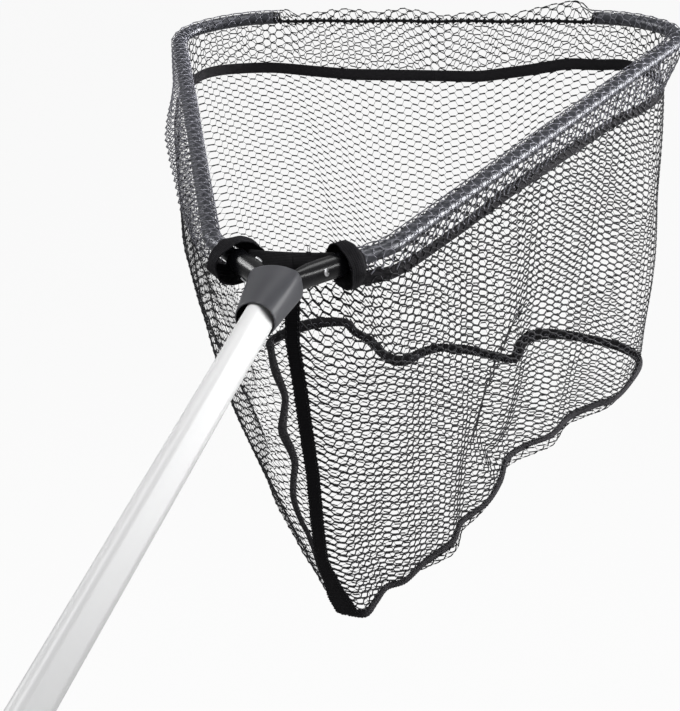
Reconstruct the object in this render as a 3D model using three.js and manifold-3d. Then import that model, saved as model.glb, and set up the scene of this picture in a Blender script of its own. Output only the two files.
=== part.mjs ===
// Telescopic pond net: a two-tube handle, a sliding lock sleeve, two folding arms and a netting bag.
// Millimetres, +Z up, handle along Y, net towards +Y.
// The exported group's origin is the middle of the grip.

import * as THREE from 'three';
import { mergeVertices } from 'three/addons/utils/BufferGeometryUtils.js';
import Module from 'manifold-3d';

const wasm = await Module();
wasm.setup();

// Clearances
const seatGap = 0.3;          // between two fixed pieces that seat on each other
const slideGap = 0.4;         // between two pieces that slide or turn
const cutReach = 60;          // how far a cutting block runs past what it cuts

// Handle: both tubes have a three-lobed section with one lobe on top
const lobeRing = 6.2;         // radius of the circle that the three lobe centres lie on
const innerLobe = 5.8;        // lobe radius of the inner tube, outside
const tubeWall = 1.2;
const innerTubeFront = -38;   // front end of the inner tube, measured from the arm roots
const innerTubeLength = 552;
const tubeOverlap = 90;       // how far the inner tube stays in the outer one when pulled out
const outerTubeLength = 458;
const lockNutLength = 36;
const lockNutRadius = 19;
const lockNutFlutes = 12;
const lockNutLip = 3;
const lockNutRoom = 2;        // between the nut's lip and the inner tube that slides through it
const colletSkirt = 28;       // length of the collet that is glued over the outer tube
const colletNose = 24;        // length of the collet that grips the inner tube
const colletWall = 2.6;
const bushFlange = 12;
const bushPlug = 20;
const gripLength = 156;
const gripRadius = 18;
const gripRibs = 7;
const gripBack = 14;          // from the grip's rear end to the outer tube's rear end
const capPlug = 11;
const capBody = 14;
const capTail = 20;
const capTailThick = 13;
const capEye = 4.5;           // radius of the hanging eye

// Lock sleeve: round at the back, wide and flat-sided at the mouth
const sleeveBack = -57;
const sleeveFront = -5;
const sleeveWall = 2;
const sleeveSide = 18.4;      // half width of the mouth
const sleeveSideHeight = 9;   // half height of the mouth's flat side
const sleeveTop = 14.6;       // half height of the mouth's arched top

// Hub and pivots: the pins lean sideways, so the folded tips pass one above the other
const pivotX = 8.8;
const pivotY = -14;
const pinRadius = 2;
const pinLean = THREE.MathUtils.degToRad(3.5);
const hubFlat = 8.6;          // half height of the hub's head
const hubEar = 7;             // radius of the hub's ears round each pin
const hubWeb = 6;             // width of the web between the two lug slots
const hubPlug = 38;           // how far the hub goes into the inner tube
const hubPinY = -64;
const hubPinRadius = 1.6;
const hubPinDepth = 7;
const lugThick = 7;
const lugRadius = 5.5;
const lugTail = 11;

// Arms: straight tubes with a root bend, a rounded corner and an incurved tip
const frontHalf = 228;        // half the frame's width, on the tubes' centre line
const frontReach = 523.6;     // from the arm roots to the front cord
const rootAngle = THREE.MathUtils.degToRad(46);
const tipTurn = THREE.MathUtils.degToRad(45);
const rootBend = 45;
const cornerBend = 40;
const tipInset = 80;          // how far each tip comes in from the frame's widest place
const tubeRadius = 5.6;
const armWall = 1;
const rootX = 20;             // where the arm tube starts, inside its socket
const rootY = 11.3;
const rootRun = 63.4;         // from there to the corner of the root bend
const socketRadius = 8.2;
const socketDepth = 26;
const rivetRadius = 1.6;
const rivetHead = 3.1;
const rivetAlong = 4.5;       // from the start of the tube to its rivet
const rivetLean = THREE.MathUtils.degToRad(20);
const plugCap = 5;
const plugDepth = 26;
const tipRivetBack = 13;      // from the tube's end to the tip rivet
const tipRivetRadius = 1.2;
const tipRivetHead = 2.4;
const headThick = 0.4;
const cordRadius = 1.4;
const cordInset = 8;          // how far the cord goes into each tip plug

// Netting bag
const netThick = 0.8;
const hemRadius = 7.2;        // netting round the tubes, at the middle of its thickness
const hemLeg = 1.2;           // from the wall to each leg of the casing
const hemSide = 19;           // depth of the tape below the arms
const hemFront = 55;          // depth of the tape below the front cord
const hemTuck = 5;            // how far the wall goes up between the casing's legs
const tapeWidth = 11;
const tapeThick = 1;
const cuffRadius = 13.4;
const cuffDrop = 3.4;
const cuffLength = 15;
const rightCuffStart = 13.5;  // from the start of the arm tube to the cuff
const leftCuffStart = 22;     // the loose cuffs lie unevenly on the two arms
const strapTop = 5;
const strapHeight = 12;
const floorDepth = 346;
const floorBackY = 85;
const floorSideInset = 36;    // from the frame's side to the floor's front corner
const floorFrontInset = 3.6;
const floorRound = 16;
const seamWidth = 9;
const rearBow = 34;           // how far the rear seam hangs behind the straight line

// Materials
function finish(color, roughness, metalness) {
  return new THREE.MeshStandardMaterial({ color, roughness, metalness });
}

const aluminium = finish(0xd9dbdd, 0.35, 0.9);
const blackTube = finish(0x1c1d24, 0.3, 0.4);
const greyPlastic = finish(0x54545a, 0.5, 0);
const blackPlastic = finish(0x16161a, 0.3, 0);
const steel = finish(0xb8bac0, 0.3, 1);
const netting = finish(0x2a2a30, 0.8, 0);
const webbing = finish(0x141416, 0.9, 0);
const foam = finish(0x222224, 0.95, 0);

const head = new THREE.Group();

function piece(name, geometry, material) {
  const mesh = new THREE.Mesh(geometry, material);
  mesh.name = name;
  head.add(mesh);
}

// Solids and cuts

function closedGeometry(points, triangles) {
  const geometry = new THREE.BufferGeometry();
  let volume = 0;
  for (const [a, b, c] of triangles) {
    volume += points[a].dot(points[b].clone().cross(points[c]));
  }
  const index = triangles.flatMap(([a, b, c]) => (volume < 0 ? [a, c, b] : [a, b, c]));
  const numbers = points.flatMap((p) => p.toArray());
  geometry.setAttribute('position', new THREE.Float32BufferAttribute(numbers, 3));
  geometry.setIndex(index);
  return geometry;
}

function toSolid(geometry) {
  const bare = geometry.clone();
  bare.deleteAttribute('normal');
  bare.deleteAttribute('uv');
  const merged = mergeVertices(bare, 1e-4);
  const vertProperties = new Float32Array(merged.attributes.position.array);
  const triVerts = new Uint32Array(merged.index.array);
  return new wasm.Manifold(new wasm.Mesh({ numProp: 3, vertProperties, triVerts }));
}

function toGeometry(solid) {
  const mesh = solid.getMesh();
  const geometry = new THREE.BufferGeometry();
  geometry.setAttribute('position', new THREE.Float32BufferAttribute(mesh.vertProperties, 3));
  geometry.setIndex(Array.from(mesh.triVerts));
  return geometry;
}

const join = (...parts) => parts.slice(1).reduce((whole, part) => whole.add(part), parts[0]);
const cut = (whole, ...tools) => tools.reduce((rest, tool) => rest.subtract(tool), whole);

function block(low, high) {
  const size = [0, 1, 2].map((i) => high[i] - low[i]);
  const geometry = new THREE.BoxGeometry(...size);
  geometry.translate(...[0, 1, 2].map((i) => (low[i] + high[i]) / 2));
  return geometry;
}

// A rod between two points, with flat ends
function rod(from, to, radius, sides = 16) {
  const along = to.clone().sub(from);
  const geometry = new THREE.CylinderGeometry(radius, radius, along.length(), sides);
  const upright = new THREE.Vector3(0, 1, 0);
  const turn = new THREE.Quaternion().setFromUnitVectors(upright, along.clone().normalize());
  geometry.applyQuaternion(turn);
  geometry.translate(...from.clone().add(to).multiplyScalar(0.5).toArray());
  return geometry;
}

function lobedShape(radius) {
  const shape = new THREE.Shape();
  for (let i = 0; i < 3; i += 1) {
    const mid = Math.PI / 2 + (i * 2 * Math.PI) / 3;
    const x = lobeRing * Math.cos(mid);
    const y = lobeRing * Math.sin(mid);
    shape.absarc(x, y, radius, mid - Math.PI / 3, mid + Math.PI / 3, false);
  }
  shape.closePath();
  return shape;
}

function roundShape(radius) {
  return new THREE.Shape().absarc(0, 0, radius, 0, 2 * Math.PI, false);
}

// Extrudes an outline that is drawn looking along the handle, back from yFront
function alongHandle(shape, hole, yFront, length, curveSegments = 8) {
  if (hole) shape.holes.push(hole);
  const geometry = new THREE.ExtrudeGeometry(shape, { depth: length, bevelEnabled: false, curveSegments });
  geometry.rotateX(Math.PI / 2);
  geometry.translate(0, yFront, 0);
  return geometry;
}

const closeRing = (count) => Array.from({ length: count }, (_, i) => [i, (i + 1) % count]);

// A solid through a row of rings with as many points each
function loft(rings) {
  const count = rings[0].length;
  const points = rings.flat();
  const triangles = [];
  for (let r = 0; r + 1 < rings.length; r += 1) {
    for (const [i, j] of closeRing(count)) {
      const a = r * count;
      const b = a + count;
      triangles.push([a + i, a + j, b + j], [a + i, b + j, b + i]);
    }
  }
  const ends = [[rings[0], 0, true], [rings.at(-1), points.length - count, false]];
  for (const [ring, start, turned] of ends) {
    const middle = points.length;
    points.push(ring.reduce((sum, p) => sum.add(p), new THREE.Vector3()).divideScalar(count));
    for (const [i, j] of closeRing(count)) {
      triangles.push(turned ? [start + j, start + i, middle] : [start + i, start + j, middle]);
    }
  }
  return closedGeometry(points, triangles);
}

const even = (count) => Array.from({ length: count + 1 }, (_, i) => i / count);

// A thin closed sheet round a surface pointAt(u, v), through the given stops of u and v;
// a cell whose middle is open is left out
function sheet(pointAt, uStops, vStops, thickness, isOpen = () => false) {
  const small = 1e-4;
  const within = (t, stops) => Math.min(stops.at(-1), Math.max(stops[0], t));
  const at = (u, v) => pointAt(within(u, uStops), within(v, vStops));
  const points = [];
  for (const half of [thickness / 2, -thickness / 2]) {
    for (const u of uStops) {
      for (const v of vStops) {
        const alongU = at(u + small, v).sub(at(u - small, v));
        const alongV = at(u, v + small).sub(at(u, v - small));
        points.push(at(u, v).addScaledVector(alongU.cross(alongV).normalize(), half));
      }
    }
  }
  const rows = uStops.length;
  const columns = vStops.length;
  const back = rows * columns;
  const index = (i, j) => i * columns + j;
  const triangles = [];
  const quad = (a, b, c, d) => triangles.push([a, b, c], [a, c, d]);
  const isSolid = (i, j) => i >= 0 && j >= 0 && i + 1 < rows && j + 1 < columns
    && !isOpen((uStops[i] + uStops[i + 1]) / 2, (vStops[j] + vStops[j + 1]) / 2);
  for (let i = 0; i + 1 < rows; i += 1) {
    for (let j = 0; j + 1 < columns; j += 1) {
      if (!isSolid(i, j)) continue;
      const corners = [index(i, j), index(i + 1, j), index(i + 1, j + 1), index(i, j + 1)];
      const beyond = [[i, j - 1], [i + 1, j], [i, j + 1], [i - 1, j]];
      quad(...corners);
      quad(...corners.map((corner) => back + corner).reverse());
      beyond.forEach(([nextI, nextJ], edge) => {
        const [from, to] = [corners[edge], corners[(edge + 1) % corners.length]];
        if (!isSolid(nextI, nextJ)) quad(from, back + from, back + to, to);
      });
    }
  }
  return closedGeometry(points, triangles);
}

// Handle tubes

const innerTubeBack = innerTubeFront - innerTubeLength;
const outerTubeFront = innerTubeBack + tubeOverlap;
const outerTubeBack = outerTubeFront - outerTubeLength;
const innerBore = innerLobe - tubeWall;
const outerBore = innerLobe + slideGap;
const outerLobe = outerBore + tubeWall;
const innerReach = lobeRing + innerLobe;
const outerReach = lobeRing + outerLobe;
const gripCentre = outerTubeBack + gripBack + gripLength / 2;

const hubPinTop = -(lobeRing / 2 + innerLobe) + seatGap;
const hubPinHole = rod(
  new THREE.Vector3(0, hubPinY, hubPinTop - cutReach),
  new THREE.Vector3(0, hubPinY, hubPinTop + hubPinDepth + seatGap),
  hubPinRadius + seatGap,
);
const pole = (lobe, bore, front, length) => alongHandle(lobedShape(lobe), lobedShape(bore), front, length);
const lobedBar = (lobe, front, length) => toSolid(alongHandle(lobedShape(lobe), null, front, length));
const roundBar = (radius, front, length) => toSolid(alongHandle(roundShape(radius), null, front, length, 24));
const innerTube = pole(innerLobe, innerBore, innerTubeFront, innerTubeLength);
piece('inner_tube', toGeometry(cut(toSolid(innerTube), toSolid(hubPinHole))), aluminium);
piece('outer_tube', pole(outerLobe, outerBore, outerTubeFront, outerTubeLength), aluminium);

const bush = join(
  lobedBar(innerLobe + slideGap / 2, innerTubeBack - seatGap, bushFlange),
  lobedBar(innerBore - seatGap, innerTubeBack + bushPlug, bushPlug + bushFlange / 2),
);
piece('guide_bush', toGeometry(bush), blackPlastic);

// Twist lock: a collet glued on the outer tube, and a fluted nut that turns on it

const colletRadius = outerReach + seatGap + colletWall;
const colletNoseFront = outerTubeFront + seatGap + colletNose;
const collet = cut(
  roundBar(colletRadius, colletNoseFront, colletNose + colletSkirt),
  lobedBar(innerLobe + slideGap, colletNoseFront + 1, colletNose + colletSkirt),
  lobedBar(outerLobe + seatGap, outerTubeFront + seatGap, colletSkirt + 1),
);
piece('lock_collet', toGeometry(collet), blackPlastic);

function flutedShape(radius, depth, flutes) {
  const outline = [];
  const steps = flutes * 6;
  for (let i = 0; i < steps; i += 1) {
    const angle = (i / steps) * 2 * Math.PI;
    const r = radius - depth * (0.5 - 0.5 * Math.cos(angle * flutes)) ** 2;
    outline.push(new THREE.Vector2(r * Math.cos(angle), r * Math.sin(angle)));
  }
  return new THREE.Shape(outline);
}

const nutFront = colletNoseFront + slideGap + lockNutLip;
const nutFluteDepth = 1.2;
const nutOutline = flutedShape(lockNutRadius, nutFluteDepth, lockNutFlutes);
const nut = cut(
  toSolid(alongHandle(nutOutline, null, nutFront, lockNutLength)),
  roundBar(innerReach + lockNutRoom, nutFront + 1, lockNutLength),
  roundBar(colletRadius + slideGap, nutFront - lockNutLip, lockNutLength),
);
piece('lock_nut', toGeometry(nut), blackPlastic);

// Grip and end cap

function gripProfile() {
  const back = outerTubeBack + gripBack;
  const lip = 2.5;
  const ribDepth = 1.1;
  const steps = gripRibs * 3;
  const outline = [new THREE.Vector2(0, back), new THREE.Vector2(gripRadius - lip, back)];
  for (let i = 0; i <= steps; i += 1) {
    const t = i / steps;
    const wave = 0.5 - 0.5 * Math.cos(t * gripRibs * 2 * Math.PI);
    const along = back + lip + t * (gripLength - 2 * lip);
    outline.push(new THREE.Vector2(gripRadius - ribDepth * wave, along));
  }
  outline.push(new THREE.Vector2(gripRadius - lip, back + gripLength));
  outline.push(new THREE.Vector2(0, back + gripLength));
  return outline;
}
const gripFront = outerTubeBack + gripBack + gripLength;
const grip = cut(
  toSolid(new THREE.LatheGeometry(gripProfile(), 20)),
  lobedBar(outerLobe + seatGap, gripFront + 1, gripLength + 2),
);
piece('hand_grip', toGeometry(grip), foam);

const capFront = outerTubeBack - seatGap;
const capBack = capFront - capBody - capTail;
const capEyeY = capBack + capTail / 2;
const capHalf = capTailThick / 2;
const capSide = block([capHalf, capBack - 1, -cutReach], [cutReach, capFront - capBody, cutReach]);
const capOtherSide = block([-cutReach, capBack - 1, -cutReach], [-capHalf, capFront - capBody, cutReach]);
const endCap = cut(
  join(
    lobedBar(outerLobe, capFront, capBody + capTail),
    lobedBar(outerBore - seatGap, outerTubeBack + capPlug, capPlug + 2),
  ),
  toSolid(capSide),
  toSolid(capOtherSide),
  toSolid(rod(new THREE.Vector3(-cutReach, capEyeY, 0), new THREE.Vector3(cutReach, capEyeY, 0), capEye)),
);
piece('end_cap', toGeometry(endCap), blackPlastic);

// Lock sleeve: the outline goes from a circle at the back to the flat-sided mouth

const sleeveBore = innerReach + slideGap;
const mouthCorner = Math.atan2(sleeveSideHeight, sleeveSide);
const mouthRise = sleeveTop - sleeveSideHeight;
const mouthArch = (sleeveSide ** 2 + mouthRise ** 2) / (2 * mouthRise);

function mouthRadius(angle) {
  const lean = Math.asin(Math.abs(Math.sin(angle)));
  if (lean <= mouthCorner + 1e-9) return sleeveSide / Math.cos(lean);
  const centre = sleeveTop - mouthArch;
  return centre * Math.sin(lean) + Math.sqrt(mouthArch ** 2 - (centre * Math.cos(lean)) ** 2);
}

function sleeveAngles() {
  const turn = Math.PI;
  const stops = [-mouthCorner, mouthCorner, turn - mouthCorner, turn + mouthCorner, 2 * turn - mouthCorner];
  const counts = [4, 12, 4, 12];
  return counts.flatMap((count, k) => (
    Array.from({ length: count }, (_, i) => stops[k] + ((stops[k + 1] - stops[k]) * i) / count)));
}

function sleeveRing(y, inset) {
  const t = THREE.MathUtils.clamp((y - sleeveBack) / (sleeveFront - sleeveBack), 0, 1);
  return sleeveAngles().map((angle) => {
    const r = THREE.MathUtils.lerp(sleeveBore + sleeveWall, mouthRadius(angle), t) - inset;
    return new THREE.Vector3(r * Math.cos(angle), y, r * Math.sin(angle));
  });
}

const sleeveRows = 5;
const rimBead = 0.7;
const rimLength = 3;
const sleeveLength = sleeveFront - sleeveBack;
const rowAt = (i, past) => sleeveBack - past + ((sleeveLength + 2 * past) * i) / sleeveRows;
const rows = Array.from({ length: sleeveRows + 1 }, (_, i) => i);
const bead = loft([
  sleeveRing(sleeveBack, -rimBead / 2),
  sleeveRing(sleeveBack + rimLength / 2, -rimBead),
  sleeveRing(sleeveBack + rimLength, 0),
]);
const sleeve = cut(
  join(toSolid(loft(rows.map((i) => sleeveRing(rowAt(i, 0), 0)))), toSolid(bead)),
  toSolid(loft(rows.map((i) => sleeveRing(rowAt(i, 1), sleeveWall)))),
);
piece('lock_sleeve', toGeometry(sleeve), greyPlastic);

// Hub: a plug in the inner tube, with two side slots for the arm lugs

const pivot = (side) => new THREE.Vector3(side * pivotX, pivotY, -side * pivotX * Math.tan(pinLean));
const pinAxis = new THREE.Vector3(Math.sin(pinLean), 0, Math.cos(pinLean));
const pinRod = (side, half, radius, sides = 16) => rod(
  pivot(side).addScaledVector(pinAxis, -half),
  pivot(side).addScaledVector(pinAxis, half),
  radius,
  sides,
);

function leaned(geometry, side) {
  geometry.rotateY(pinLean);
  geometry.translate(...pivot(side).toArray());
  return geometry;
}

const hubBack = innerTubeFront + seatGap;
const hubInset = sleeveWall + slideGap;
const slotHalf = lugThick / 2 + slideGap;
const hubSlotBack = pivotY - Math.hypot(lugRadius, lugTail) - slideGap;

function lugSlot(side) {
  const inner = hubWeb / 2 - pivotX;
  const geometry = block([inner, hubSlotBack - pivotY, -slotHalf], [cutReach, cutReach, slotHalf]);
  if (side < 0) geometry.rotateZ(Math.PI);
  if (side < 0) geometry.translate(0, hubSlotBack - pivotY + cutReach, 0);
  return leaned(geometry, side);
}

// In front of the pins the slot runs right across, so that the lugs can turn inwards
function frontSlot() {
  const geometry = block([-cutReach, pivotY - 1, -slotHalf], [cutReach, cutReach, slotHalf]);
  geometry.rotateY(pinLean);
  return geometry;
}

const hubRows = 4;
const hubNose = pivotY + hubEar;
const hubHead = loft(Array.from({ length: hubRows + 1 }, (_, i) => (
  sleeveRing(hubBack + ((hubNose - hubBack) * i) / hubRows, hubInset))));
const hubPlan = join(
  toSolid(block([-cutReach, hubBack - 1, -hubFlat], [cutReach, pivotY, hubFlat])),
  ...[1, -1].map((side) => toSolid(pinRod(side, cutReach, hubEar, 24))),
);
const hubSlab = toSolid(block([-cutReach, hubBack - 1, -hubFlat], [cutReach, cutReach, hubFlat]));
const hub = cut(
  join(
    toSolid(hubHead).intersect(hubPlan).intersect(hubSlab),
    lobedBar(innerBore - seatGap, hubBack + 1, hubPlug + 1),
  ),
  ...[1, -1].map((side) => toSolid(lugSlot(side))),
  toSolid(frontSlot()),
  ...[1, -1].map((side) => toSolid(pinRod(side, cutReach, pinRadius + seatGap))),
  toSolid(hubPinHole),
);
piece('hub_core', toGeometry(hub), blackPlastic);
piece('hub_pin', rod(
  new THREE.Vector3(0, hubPinY, hubPinTop),
  new THREE.Vector3(0, hubPinY, hubPinTop + hubPinDepth),
  hubPinRadius,
), steel);

// The arm's centre line, in plan, for the right side: root, bend, straight, corner and incurved tip

const heading = (angle) => new THREE.Vector2(Math.sin(angle), Math.cos(angle));
const rightOf = (angle) => new THREE.Vector2(Math.cos(angle), -Math.sin(angle));
const tipHalfGap = frontHalf - tipInset;        // half the gap that the cord spans
const tipBend = (frontHalf - cornerBend * (1 - Math.cos(tipTurn)) - tipHalfGap) / Math.cos(tipTurn);
const cornerCentre = new THREE.Vector2(
  frontHalf - cornerBend,
  frontReach - tipBend * (1 - Math.sin(tipTurn)) - cornerBend * Math.sin(tipTurn),
);
const tipCentre = new THREE.Vector2(tipHalfGap, frontReach - tipBend);
const root = new THREE.Vector2(rootX, rootY);
const bendPoint = root.clone().addScaledVector(heading(rootAngle), rootRun);

// The straight part runs from the root bend to where it touches the corner's arc
const toCorner = cornerCentre.clone().sub(bendPoint);
const armAngle = Math.atan2(toCorner.x, toCorner.y) + Math.asin(cornerBend / toCorner.length());
const cornerStart = cornerCentre.clone().addScaledVector(rightOf(armAngle), cornerBend);
const bendTangent = rootBend * Math.tan((rootAngle - armAngle) / 2);
const bendStart = bendPoint.clone().addScaledVector(heading(rootAngle), -bendTangent);
const bendCentre = bendStart.clone().addScaledVector(rightOf(rootAngle), -rootBend);

const armPath = new THREE.Path();
armPath.moveTo(root.x, root.y);
armPath.lineTo(bendStart.x, bendStart.y);
armPath.absarc(bendCentre.x, bendCentre.y, rootBend, -rootAngle, -armAngle, false);
armPath.lineTo(cornerStart.x, cornerStart.y);
armPath.absarc(cornerCentre.x, cornerCentre.y, cornerBend, -armAngle, tipTurn, false);
armPath.absarc(tipCentre.x, tipCentre.y, tipBend, tipTurn, Math.PI / 2, false);
const armLength = armPath.getLength();

// A point of the rim, by its distance along the arm and then along the cord, with the way out of the bag
function rim(distance, side = 1) {
  const past = Math.max(0, distance - armLength);
  const u = Math.min(1, distance / armLength);
  const point = armPath.getPointAt(u);
  const tangent = armPath.getTangentAt(u);
  return {
    point: new THREE.Vector3(side * (point.x - past), point.y, 0),
    out: new THREE.Vector3(side * tangent.y, -tangent.x, 0),
    along: new THREE.Vector3(side * tangent.x, tangent.y, 0),
  };
}

const straightFrom = bendStart.distanceTo(root) + rootBend * (rootAngle - armAngle);
const cornerFrom = straightFrom + cornerStart.distanceTo(bendPoint) - bendTangent;
const tipFrom = cornerFrom + cornerBend * (armAngle + tipTurn);
const frontMiddle = armLength + tipHalfGap;

// Distances along the rim from one place to another, closer together where it bends
function rimStops(from, to) {
  const runs = [
    [0, bendStart.distanceTo(root), 20],
    [bendStart.distanceTo(root), straightFrom, 5],
    [straightFrom, cornerFrom, 80],
    [cornerFrom, tipFrom, 9],
    [tipFrom, armLength, 16],
    [armLength, frontMiddle, 80],
  ];
  const stops = [from];
  for (const [start, end, pitch] of runs) {
    const count = Math.ceil((end - start) / pitch);
    for (let i = 1; i <= count; i += 1) {
      stops.push(start + ((end - start) * i) / count);
    }
  }
  const margin = 2;
  return [...stops.filter((stop, i) => i === 0 || (stop > from + margin && stop < to - margin)), to];
}

class ArmCurve extends THREE.Curve {
  constructor(side, stops) {
    super();
    this.side = side;
    this.stops = stops;
  }

  distanceAt(t) {
    const place = t * (this.stops.length - 1);
    const below = Math.min(this.stops.length - 2, Math.floor(place));
    return THREE.MathUtils.lerp(this.stops[below], this.stops[below + 1], place - below);
  }

  getPointAt(t) {
    return rim(this.distanceAt(t), this.side).point;
  }

  getTangentAt(t) {
    return rim(this.distanceAt(t), this.side).along;
  }
}

function tubeAlong(side, from, to, radius, sides, bore) {
  const stops = rimStops(from, to);
  const shape = new THREE.Shape().absarc(0, 0, radius, 0, 2 * Math.PI, false);
  if (bore) shape.holes.push(new THREE.Path().absarc(0, 0, bore, 0, 2 * Math.PI, true));
  const extrudePath = new ArmCurve(side, stops);
  const steps = stops.length - 1;
  const settings = { steps, extrudePath, curveSegments: sides, bevelEnabled: false };
  return new THREE.ExtrudeGeometry(shape, settings);
}

// Arm sockets: a lug and tail on the pivot pin, growing into a round socket for the arm tube

function lugShape(side) {
  const neck = pivotY + hubEar;
  const outline = [
    [-lugRadius, -lugTail], [lugRadius - 1.4, -lugTail], [lugRadius, 0],
    [lugRadius, neck - pivotY + 4], [-lugRadius + 1, neck - pivotY + 4], [-lugRadius, 0],
  ];
  return new THREE.Shape(outline.map(([x, y]) => new THREE.Vector2(side * x, y)));
}

function ellipseRing(x, y, angle, halfWidth, halfHeight, side, count = 20) {
  const out = rightOf(angle);
  return Array.from({ length: count }, (_, i) => {
    const turn = (i / count) * 2 * Math.PI;
    const across = halfWidth * Math.cos(turn);
    const z = halfHeight * Math.sin(turn);
    return new THREE.Vector3(side * (x + out.x * across), y + out.y * across, z);
  });
}

function socketRings(side) {
  const end = root.clone().addScaledVector(heading(rootAngle), socketDepth);
  const shoulder = root.clone().addScaledVector(heading(rootAngle), -1.5);
  const neck = new THREE.Vector2(pivotX + 0.4, pivotY + 4);
  return [
    ellipseRing(neck.x, neck.y, rootAngle * 0.3, lugRadius - 0.3, 6.8, side),
    ellipseRing(neck.x + 1.3, neck.y + 7, rootAngle * 0.48, lugRadius - 0.8, 7.3, side),
    ellipseRing(neck.x + 4.9, neck.y + 13.5, rootAngle * 0.8, lugRadius + 1, 7.7, side),
    ellipseRing(shoulder.x, shoulder.y, rootAngle, socketRadius, socketRadius, side),
    ellipseRing(end.x, end.y, rootAngle, socketRadius, socketRadius, side),
  ];
}

const up = new THREE.Vector3(0, 0, 1);
const rivetAxis = (side) => rim(rivetAlong, side).out.multiplyScalar(Math.cos(rivetLean))
  .addScaledVector(up, Math.sin(rivetLean));

function acrossRivet(side, half, radius) {
  const { point } = rim(rivetAlong, side);
  const axis = rivetAxis(side);
  const from = point.clone().addScaledVector(axis, -half);
  return rod(from, point.clone().addScaledVector(axis, half), radius);
}

// A rivet through a round piece: a shank with a flat head at each end
function rivet(point, axis, seatRadius, shank, headRadius) {
  const near = seatRadius + 0.02;
  const far = near + headThick;
  const ends = [1, -1].map((sign) => toSolid(rod(
    point.clone().addScaledVector(axis, sign * near),
    point.clone().addScaledVector(axis, sign * far),
    headRadius,
  )));
  const shankRod = rod(
    point.clone().addScaledVector(axis, -far + headThick / 2),
    point.clone().addScaledVector(axis, far - headThick / 2),
    shank,
  );
  return toGeometry(join(toSolid(shankRod), ...ends));
}

const armTubeEnd = armLength - plugCap - seatGap;
const tipRivetAt = armTubeEnd - tipRivetBack;

function tipRivetHole(side) {
  const { point } = rim(tipRivetAt, side);
  return rod(
    point.clone().addScaledVector(up, -cutReach),
    point.clone().addScaledVector(up, cutReach),
    tipRivetRadius + seatGap,
  );
}

function tipPlug(side) {
  const end = rim(armLength, side).point;
  const capStart = rim(armLength - plugCap, side).point;
  const stemRadius = tubeRadius - armWall - seatGap;
  const stem = tubeAlong(side, armLength - plugDepth, armLength - plugCap / 2, stemRadius, 6);
  const bore = rod(
    end.clone().lerp(capStart, -1),
    end.clone().lerp(capStart, (cordInset + 2) / plugCap),
    cordRadius + slideGap,
    10,
  );
  const cap = rod(capStart, end, tubeRadius);
  return toGeometry(cut(join(toSolid(cap), toSolid(stem)), toSolid(bore), toSolid(tipRivetHole(side))));
}

for (const [side, label] of [[1, 'right'], [-1, 'left']]) {
  const socketBody = cut(
    toSolid(loft(socketRings(side))),
    toSolid(pinRod(side, cutReach, hubEar + slideGap, 24)),
  );
  const lug = new THREE.ExtrudeGeometry(lugShape(side), { depth: lugThick, bevelEnabled: false });
  lug.translate(0, 0, -lugThick / 2);
  const round = new THREE.CylinderGeometry(lugRadius, lugRadius, lugThick, 24);
  round.rotateX(Math.PI / 2);
  const boreEnd = rim(socketDepth + 2, side).point;
  const boreStart = rim(0, side).point.addScaledVector(rim(0, side).along, -seatGap);
  const socket = cut(
    join(socketBody, toSolid(leaned(lug, side)), toSolid(leaned(round, side))),
    toSolid(pinRod(side, cutReach, pinRadius + slideGap / 2)),
    toSolid(rod(boreStart, boreEnd, tubeRadius + seatGap, 20)),
    toSolid(acrossRivet(side, cutReach, rivetRadius + seatGap)),
  );
  piece(`${label}_arm_socket`, toGeometry(socket), blackPlastic);

  const pinHalf = hubFlat / Math.cos(pinLean) - Math.tan(pinLean) * (pivotX + pinRadius) - seatGap;
  piece(`${label}_pivot_pin`, pinRod(side, pinHalf, pinRadius), steel);

  const tube = tubeAlong(side, 0, armTubeEnd, tubeRadius, 6, tubeRadius - armWall);
  const armTube = cut(
    toSolid(tube),
    toSolid(acrossRivet(side, cutReach, rivetRadius + seatGap)),
    toSolid(tipRivetHole(side)),
  );
  piece(`${label}_arm_tube`, toGeometry(armTube), blackTube);

  const socketAt = rim(rivetAlong, side).point;
  const socketRivet = rivet(socketAt, rivetAxis(side), socketRadius, rivetRadius, rivetHead);
  piece(`${label}_socket_rivet`, socketRivet, steel);
  piece(`${label}_tip_plug`, tipPlug(side), blackPlastic);
  const tipAt = rim(tipRivetAt, side).point;
  piece(`${label}_tip_rivet`, rivet(tipAt, up, tubeRadius, tipRivetRadius, tipRivetHead), steel);
}

const cordHalf = tipHalfGap + cordInset;
piece('front_cord', rod(
  new THREE.Vector3(-cordHalf, frontReach, 0),
  new THREE.Vector3(cordHalf, frontReach, 0),
  cordRadius,
  8,
), webbing);

// Cuffs and strap: loose loops round the sockets, joined by a strap across the back of the net

const cuffFrom = (side) => (side > 0 ? rightCuffStart : leftCuffStart);
const cuffTo = (side) => cuffFrom(side) + cuffLength;
const cuffOuter = cuffRadius + tapeThick;
const strapEnd = (side) => {
  const { point, out } = rim(cuffFrom(side), side);
  return point.addScaledVector(out, -cuffOuter).add(new THREE.Vector3(-side * seatGap, 0, 0));
};

function cuffRing(distance, radius, side) {
  const { point, out } = rim(distance, side);
  const count = 24;
  return Array.from({ length: count }, (_, i) => {
    const turn = (i / count) * 2 * Math.PI;
    const z = radius * Math.sin(turn) - cuffDrop;
    return point.clone().addScaledVector(out, radius * Math.cos(turn)).setZ(z);
  });
}

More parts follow.
